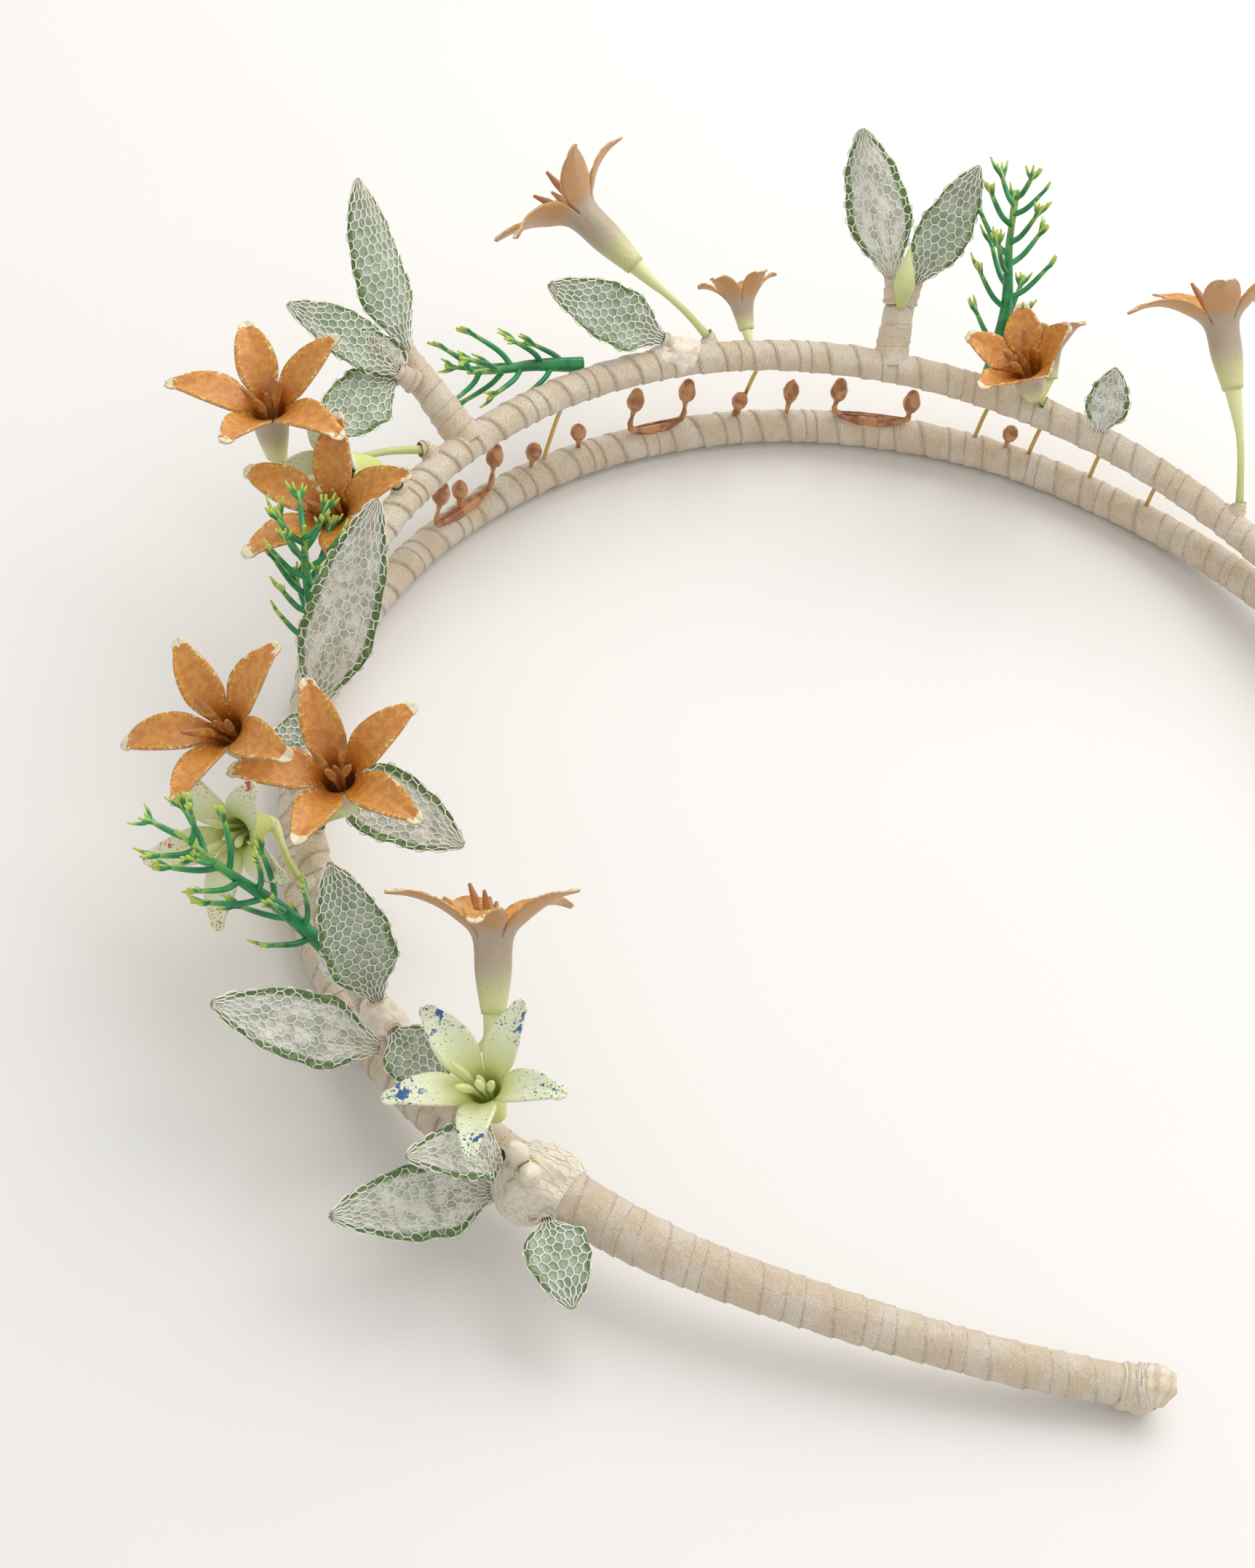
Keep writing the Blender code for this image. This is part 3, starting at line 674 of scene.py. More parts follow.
for number, node in enumerate(LEAF_NODES):
    blade = Blade(blade_lines(node), 1.7 * number)
    finish = white_leaf if node in WHITE_FILLED else grey_leaf
    leaf(blade, node, node + "_blade", body_of(node), finish, LEAF_GRID, number, RIM_BEAD, [node])
    root = blade.rows[0][0]
    band_point = nearest_band(root)[1]
    into_leaf = blade.skin(np.array([0.06]), np.array([0.5 * math.pi]), 0.0, 0.0)[0]
    if np.linalg.norm(root - band_point) > 5.0 * MM:
        band_point = root - unit(into_leaf - root) * 2.0 * MM
    neck = even_path((band_point, 0.6 * root + 0.4 * band_point, root, into_leaf), 0.15 * MM)
    wind(node + "_binding", neck, (1.8 * MM, 0.95 * MM), 1.3 * MM, 9.0 + number, body_of(node))


# Where the bands meet an arm, gathered gauze under a tulle net hides the joint.
KNOT_RADII = (3.3 * MM, 4.5 * MM, 4.9 * MM, 4.6 * MM, 3.9 * MM, 3.5 * MM)
KNOT_RUN = 16
gauze = Finish("gathered_gauze", {"Roughness": 0.8, "Sheen Weight": 0.5, "Subsurface Weight": 0.2,
                                  "Subsurface Radius": (0.002, 0.0018, 0.0014)})
gauze.put("Base Color", gauze.tint(gauze.cloud(0.9 * MM, 4.0), (0.74, 0.64, 0.50), (0.95, 0.90, 0.79)))
gauze.relief(gauze.cloud(0.5 * MM, 3.0), 0.25 * MM)
for number, arm_name in enumerate(("near_arm", "far_arm")):
    arm_path = bands[arm_name]
    end, inner = ((-1, -KNOT_RUN), (0, KNOT_RUN))[number]
    middle = 0.5 * (bands["upper_band"][end] + bands["lower_band"][end])
    start = 0.5 * (bands["upper_band"][inner] + bands["lower_band"][inner])
    knot = even_path((start, middle, arm_path[4], arm_path[KNOT_RUN]), 0.2 * MM)
    rows, steps = len(knot), 64
    share = np.linspace(0.0, 1.0, rows)[:, None]
    angle = ring_angles(steps)
    radius = np.interp(share, np.linspace(0.0, 1.0, len(KNOT_RADII)), KNOT_RADII)
    fold = 0.2 * MM * np.sin(7.0 * angle + 6.0 * share + number) + 0.12 * MM * np.sin(23.0 * angle)
    out = ring_outward(knot, angle)
    skin = (knot[:, None] + out * (radius + fold)[..., None]).reshape(-1, 3)
    skin = skin + out.reshape(-1, 3) * (0.4 * MM * crumple(skin, 1.6 * MM, 3.0 + number))[:, None]
    paint = {"lap": np.full(rows * steps, 0.6), "along": np.repeat(share * 9.0, steps)}
    knot_skin = piece(arm_name + "_knot", skin, ring_faces(rows, steps), gauze, "", paint)
    around, shares, cells = net(44, 9, 80 + number)
    row = np.clip(np.round(shares * (rows - 1)), 0, rows - 1).astype(int)
    lifted = skin + out.reshape(-1, 3) * 0.15 * MM
    lifted = lifted[row * steps + np.round(around * steps).astype(int) % steps]
    knot_net = net_piece(arm_name + "_knot_net", lifted, cells, 0.8 * NET_THREAD, "")
    for cloth in (knot_skin, knot_net):
        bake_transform(cloth)


# ---------------------------------------------------------------- lilies
# A lily is one moulded piece: a cup with five petals, on a waxy green stem that runs up
# through it and ends as the pistil.  The orange ones are brushed with burnt satin paint that
# has chipped to the pale wax at the rims, and the pale ones are spattered with blue or red.
LILY_NODES = sorted(name[:-7] for name in frame["nodes"] if name.endswith("_petals"))
PETALS = 5
LILY_ROWS = 7
CUP_ROWS = 3
CUP_SECTOR = math.radians(34.5)
FINE = 6
FINE_ACROSS = 11
PETAL_THICK = 0.42 * MM
STAMENS = 4
STRAIGHT_PISTIL = 8.0 * MM


def lily_lines(name):
    """Foot, axis, and the left, middle and right of each petal at each row, foot to tip."""
    form = joined_form(name + "_petals")
    form.verts.ensure_lookup_table()
    form.verts.index_update()
    points = np.array([vertex.co[:] for vertex in form.verts])
    stem = unique_points(name + "_stem")
    gaps = np.linalg.norm(stem[:, None] - stem[None, :], axis=2)
    ends = stem[list(np.unravel_index(gaps.argmax(), gaps.shape))]
    top = min(ends, key=lambda end: np.linalg.norm(end - points.mean(axis=0)))
    straight = stem[np.linalg.norm(stem - top, axis=1) < STRAIGHT_PISTIL]
    axis = main_axis(straight)
    axis = axis * np.sign((top - straight.mean(axis=0)) @ axis)
    centre = straight.mean(axis=0)
    height = (points - centre) @ axis
    row = np.full(len(points), -1)
    edge = [vertex for vertex in form.verts if height[vertex.index] < height.min() + 0.35 * MM]
    step = 0
    while edge:
        for vertex in edge:
            row[vertex.index] = step
        near = {line.other_vert(vertex) for vertex in edge for line in vertex.link_edges}
        edge = [vertex for vertex in near if row[vertex.index] < 0]
        step += 1
    form.free()
    foot = points[row == 0].mean(axis=0)
    axis = unit(points[row == CUP_ROWS - 1].mean(axis=0) - foot)
    height = (points - foot) @ axis
    across, beside = crosswise(axis, (0.3, 0.2, 1.0))
    offset = points - foot
    width = np.linalg.norm(offset - np.outer(height, axis), axis=1)
    angle = np.arctan2(offset @ beside, offset @ across)
    tips = row == LILY_ROWS - 1
    phase = np.angle(np.exp(1j * PETALS * angle[tips]).mean()) / PETALS
    petals = []
    for number in range(PETALS):
        spine = phase + 2.0 * math.pi * number / PETALS
        local = np.angle(np.exp(1j * (angle - spine)))
        aside = beside * math.cos(spine) - across * math.sin(spine)
        blade = np.flatnonzero((row >= CUP_ROWS - 1) & (np.abs(local) < math.pi / PETALS))
        profile = np.column_stack((height, width * np.cos(local)))[blade]
        marks = [np.median(profile[row[blade] == level], axis=0)
                 for level in range(CUP_ROWS - 1, LILY_ROWS)]
        nearest = np.linalg.norm(profile[:, None] - np.array(marks)[None], axis=2).argmin(axis=1)
        nearest += CUP_ROWS - 1
        lines = []
        for level in range(LILY_ROWS):
            if level < CUP_ROWS:
                ring = row == level
                radius, rise = np.median(width[ring]), np.median(height[ring])
                fan = spine + CUP_SECTOR * np.array([[-1.0], [0.0], [1.0]])
                spokes = across * np.cos(fan) + beside * np.sin(fan)
                lines.append(foot + axis * rise + spokes * radius)
                continue
            mine = blade[nearest == level]
            lateral = width[mine] * np.sin(local[mine])
            far = 0.5 * np.abs(lateral).max()
            left, right = points[mine[lateral < -far]], points[mine[lateral > far]]
            middle = points[mine[np.abs(lateral) <= far]]
            middle = middle if len(middle) else np.vstack((left, right))
            if not len(left):
                left = right - 2.0 * np.outer((right - foot) @ aside, aside)
            if not len(right):
                right = left - 2.0 * np.outer((left - foot) @ aside, aside)
            lines.append(np.array([side.mean(axis=0) for side in (left, middle, right)]))
        petals.append(np.array(lines))
    return foot, axis, np.array(petals)


def lily_skin(petals, foot, axis, seed):
    """Closed skin of a lily: fine points, faces, and paint values."""
    levels = FINE * (LILY_ROWS - 1) + 1
    cup_levels = FINE * (CUP_ROWS - 1)
    side = np.linspace(-1.0, 1.0, FINE_ACROSS)
    reach = np.linspace(0.0, 1.0, levels)
    sheet = []
    for number, lines in enumerate(petals):
        left, middle, right = (smooth_rows(lines[:, column], levels) for column in range(3))
        flare = np.clip((reach - 0.35) / 0.65, 0.0, 1.0)
        half = 0.5 * (right - left)
        wide = 1.0 + 0.17 * flare * (1.0 - flare) * 4.0 * (0.75 + 0.3 * math.sin(seed + number))
        tip = np.linalg.norm(half, axis=1)
        blunt = 1.15 * MM * np.sqrt(np.clip((1.0 - reach) / 0.05, 0.0, 1.0)) * flare
        wide = np.where(reach > 0.6, np.maximum(wide, blunt / np.maximum(tip, 0.1 * MM)), wide)
        half = half * wide[:, None]
        bow = 0.5 * (left + right) - middle
        grid = middle[:, None] + half[:, None] * side[:, None] + bow[:, None] * (side**2)[:, None]
        up = unit(np.cross(np.gradient(middle, axis=0), half + 1e-9))
        up = up * np.sign((up @ axis).sum() + 1e-9)
        ridge = -0.16 * MM * np.exp(-((side / 0.16) ** 2))
        ripple = 0.13 * MM * np.sin(13.0 * reach[:, None] + 5.0 * number + seed)
        ripple = ripple * side**2 * np.sign(side)
        curl = 0.2 * MM * side**2 * math.sin(1.3 * number + seed)
        grid = grid + up[:, None] * (flare[:, None] * (ridge + ripple + curl))[..., None]
        sheet.append(grid)
    points = np.array(sheet).reshape(-1, 3)
    index = np.arange(len(points)).reshape(PETALS, levels, FINE_ACROSS)
    faces = np.stack((index[:, :-1, :-1], index[:, :-1, 1:], index[:, 1:, 1:], index[:, 1:, :-1]), -1)
    after = np.roll(index, -1, axis=0)[:, : cup_levels + 1, 0]
    edge = index[:, : cup_levels + 1, -1]
    seams = np.stack((edge[:, :-1], after[:, :-1], after[:, 1:], edge[:, 1:]), -1)
    faces = np.vstack((faces.reshape(-1, 4), seams.reshape(-1, 4)))
    data = mesh_of("lily_sheet", points, faces)
    normal = np.array([entry.vector[:] for entry in data.vertex_normals])
    bpy.data.meshes.remove(data)
    cup = index[0, FINE // 2, FINE_ACROSS // 2]
    radial = points[cup] - foot
    if normal[cup] @ (radial - axis * (radial @ axis)) < 0.0:
        normal, faces = -normal, faces[:, ::-1]
    share = np.tile(np.repeat(reach, FINE_ACROSS), PETALS)
    thick = (0.5 * PETAL_THICK * (1.0 - 0.35 * share))[:, None]
    count = len(points)
    lines, times = np.unique(np.sort(np.vstack([faces[:, [a, (a + 1) % 4]] for a in range(4)]), axis=1),
                             axis=0, return_counts=True)
    open_lines = {tuple(line) for line in lines[times == 1]}
    rim = []
    for face in faces:
        for start, end in zip(face, np.roll(face, -1)):
            if (min(start, end), max(start, end)) in open_lines:
                rim.append((end, start, start + count, end + count))
    solid = [tuple(face) for face in faces] + [tuple(face[::-1] + count) for face in faces] + rim
    body_points = np.vstack((points + normal * thick, points - normal * thick))
    edge_share = np.tile(np.abs(side), levels * PETALS)
    paint = {"reach": np.tile(share, 2), "side": np.tile(edge_share, 2),
             "inner": np.repeat((0.0, 1.0), count)}
    return body_points, solid, paint


class Rods:
    """Tapered round rods gathered into one mesh, with their paint values."""

    def __init__(self, sides=8):
        self.sides = sides
        self.points, self.faces, self.reach, self.shade = [], [], [], []

    def add(self, line, radii, shade=0.0, spacing=PATH_STEP):
        path = even_path(line, spacing)
        share = np.linspace(0.0, 1.0, len(path))
        radius = np.interp(share, np.linspace(0.0, 1.0, len(radii)), radii)
        skin = path[:, None] + ring_outward(path, ring_angles(self.sides)) * radius[:, None, None]
        start = len(self.points)
        self.points.extend(skin.reshape(-1, 3))
        self.faces.extend(tuple(place + start for place in face)
                          for face in ring_faces(len(path), self.sides))
        self.reach.extend(np.repeat(share, self.sides))
        self.shade.extend([shade] * skin.shape[0] * self.sides)

    def piece(self, name, finish, body, slot, stands_for=()):
        paint = {"reach": self.reach, "shade": self.shade}
        return piece(name, self.points, self.faces, finish, body, paint, stands_for)


def orange_paint():
    """Burnt orange satin paint over pale wax, glossy amber in the throat, taupe on the cup."""
    finish = Finish("orange_petal_paint", {"Roughness": 0.42, "Coat Weight": 0.25,
                                           "Coat Roughness": 0.3, "Subsurface Weight": 0.1,
                                           "Subsurface Radius": (0.0016, 0.0008, 0.0003)})
    reach, side, inner = finish.told("reach"), finish.told("side"), finish.told("inner")
    stroke = finish.cloud(0.9 * MM, 4.0)
    fleck = finish.cloud(0.42 * MM, 3.0)
    paint = finish.tint(finish.ramp(stroke, 0.38, 0.62), (0.58, 0.22, 0.032), (0.68, 0.30, 0.055))
    paint = finish.tint(finish.ramp(reach, 0.56, 0.34) * 0.75, paint, (0.50, 0.16, 0.018))
    gold = finish.ramp(fleck, 0.52, 0.6) * finish.ramp(side, 0.45, 0.9)
    paint = finish.tint(gold * 0.85, paint, (0.82, 0.48, 0.06))
    worn = finish.ramp(stroke * 0.75 + fleck * 0.5 + finish.ramp(reach, 0.84, 1.0) * 0.27
                       + finish.ramp(side, 0.75, 1.0) * 0.15, 0.83, 0.88)
    bare = finish.ramp(reach + finish.cloud(7.0 * MM) * 0.2, 1.03, 1.045)
    worn = finish.ramp(worn + bare, 0.0, 1.0)
    paint = finish.tint(worn, paint, (0.80, 0.74, 0.50))
    cup = finish.tint(finish.ramp(reach, 0.04, 0.24), (0.66, 0.66, 0.33), (0.47, 0.38, 0.28))
    dark_speck = finish.ramp(finish.cloud(0.33 * MM), 0.71, 0.75)
    cup = finish.tint(dark_speck * 0.8, cup, (0.10, 0.08, 0.12))
    back = finish.tint(finish.ramp(reach, 0.33, 0.5), cup, (0.56, 0.30, 0.13))
    finish.put("Base Color", finish.tint(inner, back, paint))
    finish.put("Roughness", 0.5 - inner * finish.ramp(reach, 0.6, 0.35) * 0.3)
    finish.relief(stroke * 0.8 + fleck * 0.5, 0.16 * MM)
    return finish


def pale_wax(name, speck, amount):
    """Translucent pale green-yellow wax, spattered towards the petal tips."""
    finish = Finish(name, {"Roughness": 0.38, "Coat Weight": 0.2, "Subsurface Weight": 0.45,
                           "Subsurface Radius": (0.003, 0.003, 0.0015)})
    reach, inner = finish.told("reach"), finish.told("inner")
    blob, fine = finish.cloud(1.5 * MM, 4.0), finish.cloud(0.3 * MM, 2.0)
    wax = finish.tint(finish.ramp(reach, 0.2, 0.75), (0.66, 0.72, 0.22), (0.80, 0.84, 0.60))
    tips = finish.ramp(reach, 0.42, 0.9)
    patch = finish.ramp(blob + tips * 0.12 + fine * 0.1, 0.78 - amount, 0.81 - amount) * tips
    spots = finish.ramp(fine + tips * 0.12, 0.70, 0.74)
    mask = (patch + spots * 0.8) * (0.35 + inner * 0.65)
    finish.put("Base Color", finish.tint(finish.ramp(mask, 0.0, 1.0), wax, speck))
    finish.relief(blob, 0.15 * MM)
    return finish


orange = orange_paint()
blue_spatter = pale_wax("blue_spattered_wax", (0.015, 0.11, 0.33), 0.045)
red_spatter = pale_wax("red_spattered_wax", (0.62, 0.07, 0.08), -0.03)
plain_wax = pale_wax("plain_wax", (0.45, 0.42, 0.18), -0.2)
stem_wax = Finish("stem_wax", {"Roughness": 0.4, "Subsurface Weight": 0.4,
                               "Subsurface Radius": (0.002, 0.002, 0.001)})
stem_mix = stem_wax.ramp(stem_wax.told("reach") + stem_wax.cloud(2.0 * MM) * 0.2, 0.2, 0.9)
stem_wax.put("Base Color", stem_wax.tint(stem_mix, (0.55, 0.62, 0.24), (0.76, 0.79, 0.42)))
anther = Finish("stamen_paint", {"Roughness": 0.4, "Coat Weight": 0.2})
anther_mix = anther.ramp(anther.told("reach"), 0.7, 0.9)
anther_blotch = anther.ramp(anther.cloud(0.8 * MM), 0.4, 0.6)
anther_tone = anther.tint(anther_blotch, (0.50, 0.22, 0.05), (0.66, 0.36, 0.10))
anther.put("Base Color", anther.tint(anther_mix, anther_tone, (0.40, 0.17, 0.05)))
PALE = {"pale_lily_speckled_blue": blue_spatter, "pale_lily_speckled_red": red_spatter,
        "pale_lily_plain": plain_wax}

for number, name in enumerate(LILY_NODES):
    foot, axis, petals = lily_lines(name)
    finish = PALE.get(name, orange)
    slot = "pale_petal" if name in PALE else "orange_petal"
    body = body_of(name + "_petals")
    skin, faces, paint = lily_skin(petals, foot, axis, 2.3 * number)
    piece(name + "_flower", skin, faces, finish, body, paint, [name + "_petals"])
    stem = unique_points(name + "_stem")
    top = foot + axis * ((stem - foot) @ axis).max()
    end = stem[np.linalg.norm(stem - top, axis=1).argmax()]
    root = stem[np.linalg.norm(stem - end, axis=1) < 1.2 * MM].mean(axis=0)
    anchor = nearest_band(root)[1]
    reach_out = np.linalg.norm(foot - root)
    bend = root + unit(foot - anchor) * 0.5 * reach_out
    line = [root]
    for share in (0.2, 0.4, 0.6, 0.8):
        one = 1.0 - share
        line.append(root * one**3 + bend * 3 * one**2 * share + foot * share**3
                    + (foot - axis * 0.45 * reach_out) * 3 * one * share**2)
    line.append(foot + axis * 0.4 * MM)
    stalk = Rods(10)
    stalk.add(line, (0.62 * MM, 0.5 * MM, 0.5 * MM, 0.55 * MM, 0.9 * MM, 1.25 * MM), 0.0)
    stalk.piece(name + "_stalk", stem_wax, body, "lily_stem", [name + "_stem"])
    rng = random.Random(40 + number)
    mouth = petals[:, CUP_ROWS - 1, 1].mean(axis=0)
    lift = (mouth - foot) @ axis
    threads = Rods(8)
    club = (0.25 * MM, 0.22 * MM, 0.22 * MM, 0.3 * MM, 0.52 * MM, 0.52 * MM, 0.2 * MM)
    threads.add([foot + axis * 0.5 * lift, foot + axis * lift, top], club, 1.0)
    for stamen in range(STAMENS):
        spoke = unit(petals[stamen, -1, 1] - mouth + axis * 0.01)
        stray = 0.4 * np.array([rng.uniform(-1, 1) for _ in range(3)])
        spoke = unit(spoke - axis * (spoke @ axis) + stray)
        rise = lift + rng.uniform(4.2, 6.2) * MM
        lean = rng.uniform(1.2, 2.8) * MM
        threads.add([foot + axis * 0.45 * lift + spoke * 0.5 * MM,
                     foot + axis * lift + spoke * 1.1 * MM,
                     foot + axis * 0.5 * (lift + rise) + spoke * (0.8 * MM + 0.5 * lean),
                     foot + axis * rise + spoke * (0.9 * MM + lean)], club, 0.5)
    stamen_finish = stem_wax if name in PALE else anther
    threads.piece(name + "_stamens", stamen_finish, body, slot)
    bind = even_path((anchor, 0.5 * (anchor + root), root, line[1] * 0.15 + root * 0.85), 0.15 * MM)
    wind(name + "_binding", bind, (1.7 * MM, 1.0 * MM), 1.2 * MM, 30.0 + number, "hoop")


# ---------------------------------------------------------------- branch stubs
# Two short forks stand on the upper band, wound with the same ribbon, and hold leaf pairs.
for number, side in enumerate(("left", "right")):
    stub = unique_points("branch_stub_" + side)
    centre = stub.mean(axis=0)
    band_point = nearest_band(centre)[1]
    along = unit(centre - band_point)
    span = (stub - centre) @ along
    low_end, high_end = centre + along * span.min(), centre + along * span.max()
    path = even_path((band_point, low_end, centre, high_end), 0.2 * MM)
    wind(f"branch_stub_{side}_ribbon", path, (2.5 * MM, 2.0 * MM), 2.2 * MM, 50.0 + number, "hoop",
         ["branch_stub_" + side])


# ---------------------------------------------------------------- ferns
# A fern sprig is moulded in green plastic: a thick cut stem with forked twigs, whose needles
# end in lime and sometimes rust where the mould was tinted.
FERN_TWIGS = {"fern_side": 17, "fern_left": 17, "fern_front": 11, "fern_right": 16}

fern_green = Finish("fern_plastic", {"Roughness": 0.28, "Coat Weight": 0.3, "Coat Roughness": 0.15,
                                     "Subsurface Weight": 0.1,
                                     "Subsurface Radius": (0.0006, 0.0012, 0.0006)})
twig_reach, twig_tint = fern_green.told("reach"), fern_green.told("shade")
needle = fern_green.ramp(twig_reach * twig_tint + fern_green.cloud(0.9 * MM) * 0.2, 0.55, 0.95)
plastic = fern_green.tint(fern_green.ramp(fern_green.cloud(2.4 * MM), 0.4, 0.6),
                          (0.008, 0.20, 0.055), (0.02, 0.31, 0.10))
plastic = fern_green.tint(needle, plastic, (0.52, 0.66, 0.09))
rust = fern_green.ramp(fern_green.cloud(5.0 * MM), 0.55, 0.6)
rust = fern_green.ramp(twig_reach * twig_tint, 0.9, 1.0) * rust
fern_green.put("Base Color", fern_green.tint(rust * 0.8, plastic, (0.52, 0.25, 0.04)))
fern_green.relief(fern_green.cloud(0.7 * MM), 0.08 * MM)

for number, (node, twigs) in enumerate(FERN_TWIGS.items()):
    rng = random.Random(70 + number)
    points = unique_points(node)
    axis = main_axis(points)
    span = points @ axis
    ends = [points[span < span.min() + 1.0 * MM].mean(axis=0),
            points[span > span.max() - 1.0 * MM].mean(axis=0)]
    root, tip = sorted(ends, key=lambda end: nearest_band(end)[0])
    grow = unit(tip - root)
    length = np.linalg.norm(tip - root)
    across, beside = crosswise(grow, (0.2, 0.1, 1.0))
    sway = across * 0.04 * length
    sprig = Rods(8)
    spine = [root - grow * 1.5 * MM, root + 0.35 * (tip - root) + sway, root + 0.7 * (tip - root), tip]
    sprig.add(spine, (1.1 * MM, 0.95 * MM, 0.75 * MM, 0.5 * MM, 0.3 * MM), 0.75)
    spine_path = smooth_rows(spine, 60)
    for twig in range(twigs):
        share = 0.12 + 0.84 * twig / (twigs - 1)
        start = spine_path[int(share * 59)]
        angle = 2.4 * twig + rng.uniform(-0.4, 0.4)
        out = across * math.cos(angle) + beside * math.sin(angle)
        reach_out = (3.4 + 2.6 * math.sin(math.pi * share) + rng.uniform(-0.6, 0.6)) * MM
        elbow = start + (out * 0.75 + grow * 0.55) * reach_out * 0.55
        end = start + (out * 0.95 + grow * 1.05) * reach_out
        sprig.add([start, elbow, end], (0.42 * MM, 0.36 * MM, 0.26 * MM), 0.85)
        turn_aside = np.cross(out, grow)
        for needle_side in (-1.0, -0.4, 0.3, 1.0):
            share_on = 0.55 + 0.2 * abs(needle_side) * rng.uniform(0.4, 1.0)
            fork = elbow * (1.0 - share_on) + end * share_on
            aim = unit(out * 0.6 + grow * 0.8 + turn_aside * needle_side * rng.uniform(0.6, 1.1))
            long = rng.uniform(1.5, 2.6) * MM
            sprig.add([fork, fork + aim * 0.5 * long, fork + aim * long + grow * 0.25 * long],
                      (0.27 * MM, 0.25 * MM, 0.22 * MM, 0.12 * MM), 1.0)
    sprig.piece(node + "_sprig", fern_green, "hoop", "fern", [node])


# ---------------------------------------------------------------- buds and pips
# Ivory wax buds stand in pairs on doubled brass wire, and small lacquered pips stand on thin
# wires along the lower band.  Both are dipped, so they are smooth drops.
def dipped(node, finish):
    """Smooth copy of a CAD node."""
    form = joined_form(node)
    bmesh.ops.join_triangles(form, faces=form.faces, angle_face_threshold=0.7,
                             angle_shape_threshold=0.7)
    bmesh.ops.subdivide_edges(form, edges=form.edges, cuts=2, use_grid_fill=True, smooth=0.9)
    data = bpy.data.meshes.new(node + "_dipped")
    form.to_mesh(data)
    form.free()
    placed(node + "_dipped", data, finish, "hoop", [node])


bud_wax = Finish("bud_wax", {"Roughness": 0.35, "Subsurface Weight": 0.35, "Coat Weight": 0.15,
                             "Subsurface Radius": (0.002, 0.0015, 0.001)})
bud_spot = bud_wax.ramp(bud_wax.cloud(1.5 * MM), 0.64, 0.68)
bud_tone = bud_wax.tint(bud_wax.cloud(2.2 * MM), (0.86, 0.80, 0.68), (0.76, 0.68, 0.54))
bud_wax.put("Base Color", bud_wax.tint(bud_spot, bud_tone, (0.35, 0.24, 0.14)))
pip_lacquer = Finish("pip_lacquer", {"Roughness": 0.35, "Coat Weight": 0.3})
pip_tone = pip_lacquer.ramp(pip_lacquer.cloud(1.4 * MM), 0.4, 0.6)
pip_lacquer.put("Base Color", pip_lacquer.tint(pip_tone, (0.33, 0.12, 0.04), (0.55, 0.26, 0.10)))
pip_lacquer.relief(pip_lacquer.cloud(0.5 * MM), 0.08 * MM)
brass = Finish("brass_wire", {"Metallic": 1.0, "Roughness": 0.3})
brass.put("Base Color", brass.tint(brass.cloud(0.8 * MM), (0.52, 0.37, 0.12), (0.72, 0.55, 0.22)))

for node in sorted(frame["nodes"]):
    if node.startswith("bud_pair"):
        dipped(node, bud_wax)
    if node.startswith("pip_wire"):
        dipped(node, pip_lacquer)


# ---------------------------------------------------------------- small trims
# Brass wire ties the buds, struts and more pips stand between the bands, and cotton pads a
# fern's foot.  Gauze is bunched on the upper band, and small leaves, a closed bud and two
# small lilies fill the gaps.
STRUT_TURNS = (-6.0, -29.0, -55.0, -61.0, -68.0, -75.0)
EXTRA_PIPS = (7.0, -3.0, -9.0, -27.0, -33.0, -57.0)
GAUZE_BUNCHES = ((83.5, 12.2, 0.5), (50.5, 14.8, 0.3), (-19.0, 17.8, 0.6))
COTTON_PUFFS = ((77.5, 13.0, 1.6), (75.5, 12.4, 2.4))
TIE_STEPS = 26
SMALL_LEAVES = (
    ("small_leaf_side", (-52.5, 47.0, 15.5), (-63.5, 45.0, 20.5), 2.0 * MM),
    ("small_leaf_front", (-12.5, 81.5, 23.0), (-17.5, 88.5, 29.5), 2.3 * MM),
    ("small_leaf_right", (66.5, 29.0, 13.5), (68.5, 31.0, 24.0), 2.9 * MM),
    ("small_leaf_low", (-22.3, 71.6, 5.0), (-27.5, 80.5, 6.5), 1.8 * MM),
)


def hoop_place(turn, height, outward=0.0):
    """Place on the upper band's circle at a turn, at a height in metres."""
    path = bands["upper_band"]
    turns = np.degrees(np.arctan2(-path[:, 0], path[:, 1]))
    place = path[np.abs(turns - turn).argmin()].copy()
    place[:2] += unit(place[:2]) * outward
    place[2] = height
    return place


struts = Rods(8)
for turn in STRUT_TURNS:
    top = nearest_band(hoop_place(turn, 18.0 * MM))[1]
    foot = hoop_place(turn + 1.5, 3.4 * MM, 0.6 * MM)
    struts.add([foot, 0.5 * (foot + top) + 0.5 * MM, top], (0.3 * MM, 0.3 * MM), 0.5)
struts.piece("band_struts", brass, "hoop", "core_wire")
pips = Rods(10)
for number, turn in enumerate(EXTRA_PIPS):
    foot = hoop_place(turn, 4.2 * MM, 0.4 * MM)
    tilt = np.array((0.12 * math.sin(5.0 * number), 0.12 * math.cos(3.0 * number), 1.0))
    tall = (5.2 + 0.8 * math.sin(2.0 * number)) * MM
    pips.add([foot, foot + 0.5 * tall * tilt, foot + tall * tilt],
             (0.3 * MM, 0.32 * MM, 0.4 * MM, 0.95 * MM, 1.15 * MM, 0.9 * MM, 0.1 * MM), 0.5)
pips.piece("extra_pips", pip_lacquer, "hoop", "pip")
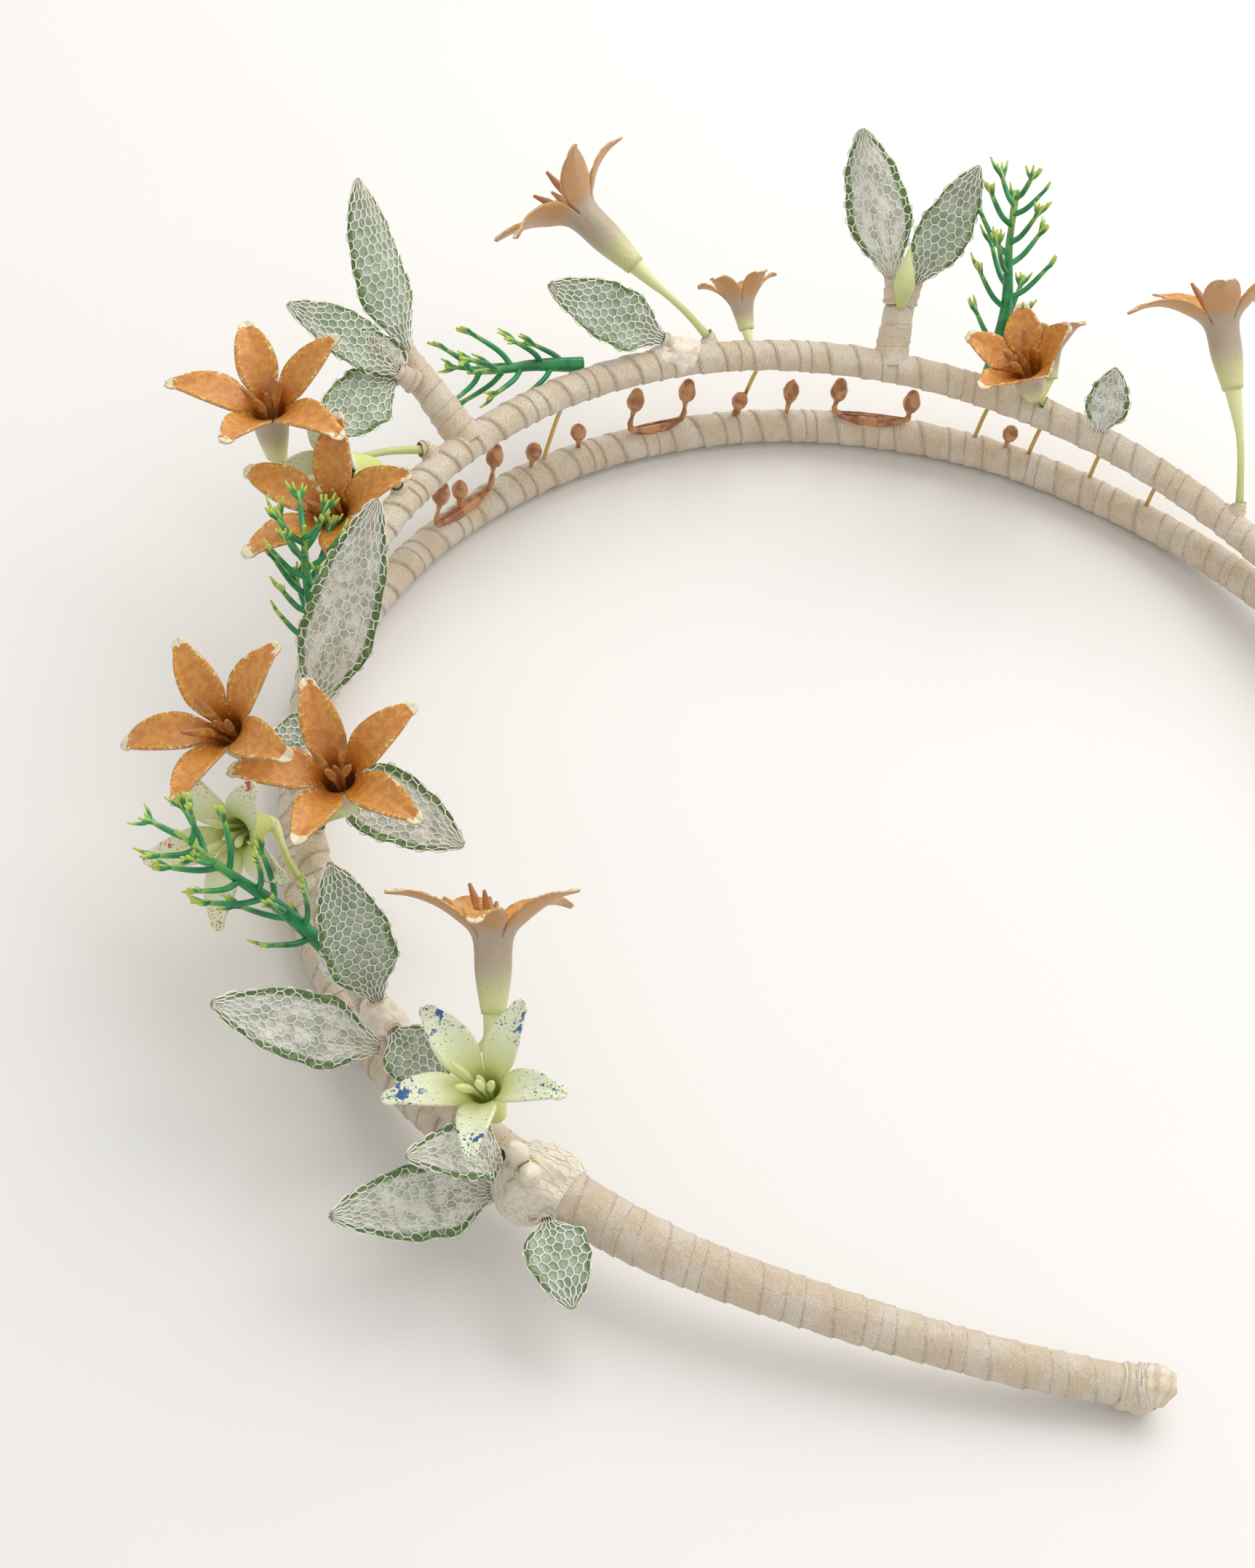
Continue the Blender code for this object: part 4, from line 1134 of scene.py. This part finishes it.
for node in ("bud_pair_near", "bud_pair_side"):
    cloud_points = unique_points(node)
    foot = cloud_points[cloud_points[:, 2].argmin()]
    grow = unit(cloud_points.mean(axis=0) - foot)
    side, beside = crosswise(grow, (0.3, 1.0, 0.2))
    wire = Rods(8)
    for strand in range(2):
        coil = [foot + grow * (0.6 + 0.11 * step) * MM
                + 0.75 * MM * (side * math.cos(0.9 * step + 3.1 * strand)
                               + beside * math.sin(0.9 * step + 3.1 * strand))
                for step in range(TIE_STEPS)]
        wire.add(coil, (0.2 * MM, 0.2 * MM), 0.5, 0.15 * MM)
    wire.piece(node + "_tie", brass, "hoop", "core_wire")

cotton = Finish("cotton_wool", {"Roughness": 0.95, "Sheen Weight": 0.8, "Subsurface Weight": 0.3,
                                "Subsurface Radius": (0.003, 0.003, 0.003)})
cotton_tone = cotton.tint(cotton.cloud(0.8 * MM, 4.0), (0.86, 0.83, 0.78), (0.97, 0.95, 0.91))
cotton.put("Base Color", cotton_tone)
cotton.relief(cotton.cloud(0.3 * MM, 4.0), 0.3 * MM)
puff = bmesh.new()
bmesh.ops.create_icosphere(puff, subdivisions=5, radius=1.0)
ball = np.array([vertex.co[:] for vertex in puff.verts])
puff_faces = [tuple(vertex.index for vertex in face.verts) for face in puff.faces]
puff.free()
for number, (turn, height, outward) in enumerate(COTTON_PUFFS):
    fluff = hoop_place(turn, height * MM, outward * MM) + ball * 1.7 * MM
    fluff = fluff + ball * (0.75 * MM * crumple(fluff, 1.0 * MM, 60.0 + number)
                            + 0.3 * MM * crumple(fluff, 0.35 * MM, 61.0))[:, None]
    piece(f"cotton_puff_{number}", fluff, puff_faces, cotton, "hoop")

for number, (turn, height, outward) in enumerate(GAUZE_BUNCHES):
    centre = hoop_place(turn, height * MM, outward * MM)
    along = unit(hoop_place(turn + 3.0, height * MM, outward * MM) - centre)
    bunch = ball + np.outer(ball @ along, along) * 0.6
    bunch = centre + bunch * 2.5 * MM
    crease = crumple(bunch, 1.5 * MM, 65.0 + number) + 0.5 * crumple(bunch, 0.7 * MM, 68.0)
    bunch = bunch + ball * (0.6 * MM * crease)[:, None]
    piece(f"gauze_bunch_{number}", bunch, puff_faces, gauze, "hoop")

for number, (name, root, tip, half) in enumerate(SMALL_LEAVES):
    root, tip = np.array(root) * MM, np.array(tip) * MM
    share = np.linspace(0.0, 1.0, 7)[:, None]
    middle = root * (1.0 - share) + tip * share
    middle = middle + np.array((0.0, 0.0, 0.6 * MM)) * np.sin(math.pi * share)
    across = unit(np.cross(tip - root, (-0.46, -0.40, 0.79)))
    face = unit(np.cross(across, tip - root))
    rows = (middle, np.repeat(across[None] * half, 7, axis=0), np.repeat(face[None], 7, axis=0))
    finish = (grey_leaf, white_leaf, white_leaf, grey_leaf)[number]
    blade = Blade(rows, 40.0 + number)
    leaf(blade, name, name, "hoop", finish, SMALL_LEAF_GRID, 50 + number, 0.5 * RIM_BEAD)
tip_bud = Rods(12)
fork = unique_points("branch_stub_right")
bud_foot = fork[fork[:, 2].argmax()] - np.array((0.8, 0.8, 1.0)) * MM
tip_bud.add([bud_foot, bud_foot + np.array((0.5, 0.8, 4.0)) * MM,
             bud_foot + np.array((1.6, 2.2, 8.5)) * MM],
            (0.6 * MM, 1.1 * MM, 1.5 * MM, 1.2 * MM, 0.6 * MM, 0.15 * MM), 0.4)
tip_bud.piece("closed_bud", stem_wax, "hoop", "lily_stem")

# Two small lilies stand on the outer side of the band.
SMALL_LILIES = (
    ("small_lily_right", (66.5, 39.5, 15.5), (0.35, 0.62, 0.70), 0.62),
    ("small_lily_front", (36.0, 68.5, 17.0), (0.30, 0.75, 0.58), 0.58),
)
CUP_PROFILE = ((1.45, 0.0), (1.9, 3.2), (2.7, 6.5))
PETAL_PROFILE = ((4.2, 9.0, 2.3), (6.2, 10.8, 2.2), (8.2, 11.8, 1.6), (9.6, 12.0, 0.5))
for number, (name, foot, axis, scale) in enumerate(SMALL_LILIES):
    foot, axis, scale = np.array(foot) * MM, unit(np.array(axis)), scale * MM
    across, beside = crosswise(axis, (0.3, 0.2, 1.0))
    petals = []
    for petal in range(PETALS):
        spine = 2.0 * math.pi * petal / PETALS + number
        outward = across * math.cos(spine) + beside * math.sin(spine)
        aside = beside * math.cos(spine) - across * math.sin(spine)
        lines = []
        for radius, rise in CUP_PROFILE:
            fan = spine + CUP_SECTOR * np.array([[-1.0], [0.0], [1.0]])
            spokes = across * np.cos(fan) + beside * np.sin(fan)
            lines.append(foot + scale * (axis * rise + radius * spokes))
        for radius, rise, half in PETAL_PROFILE:
            sides = np.array([[-1.0], [0.0], [1.0]]) * half
            height = rise + 0.25 * np.abs(sides)
            lines.append(foot + scale * (axis * height + outward * radius + aside * sides))
        petals.append(np.array(lines))
    skin, faces, paint = lily_skin(np.array(petals), foot, axis, 5.0 + number)
    piece(name + "_flower", skin, faces, orange, "hoop", paint)
    stalk = Rods(10)
    band_point = nearest_band(foot)[1]
    stalk.add([band_point, 0.5 * (band_point + foot), foot + axis * 0.4 * MM],
              (0.5 * MM, 0.5 * MM, 0.85 * MM), 0.0)
    stalk.piece(name + "_stalk", stem_wax, "hoop", "lily_stem")


# ---------------------------------------------------------------- wire cores
# Each band and arm is wound on paper-covered stem wire, which the ribbon hides.
core_paper = Finish("stem_wire_paper", {"Roughness": 0.8})
paper_tone = core_paper.tint(core_paper.cloud(1.2 * MM), (0.20, 0.24, 0.13), (0.32, 0.36, 0.22))
core_paper.put("Base Color", paper_tone)
core_paper.relief(core_paper.cloud(0.3 * MM), 0.05 * MM)
for name in bands:
    core_object = frame["nodes"][name + "_wire"]
    core_object.data.materials.clear()
    core_object.data.materials.append(core_paper.material)
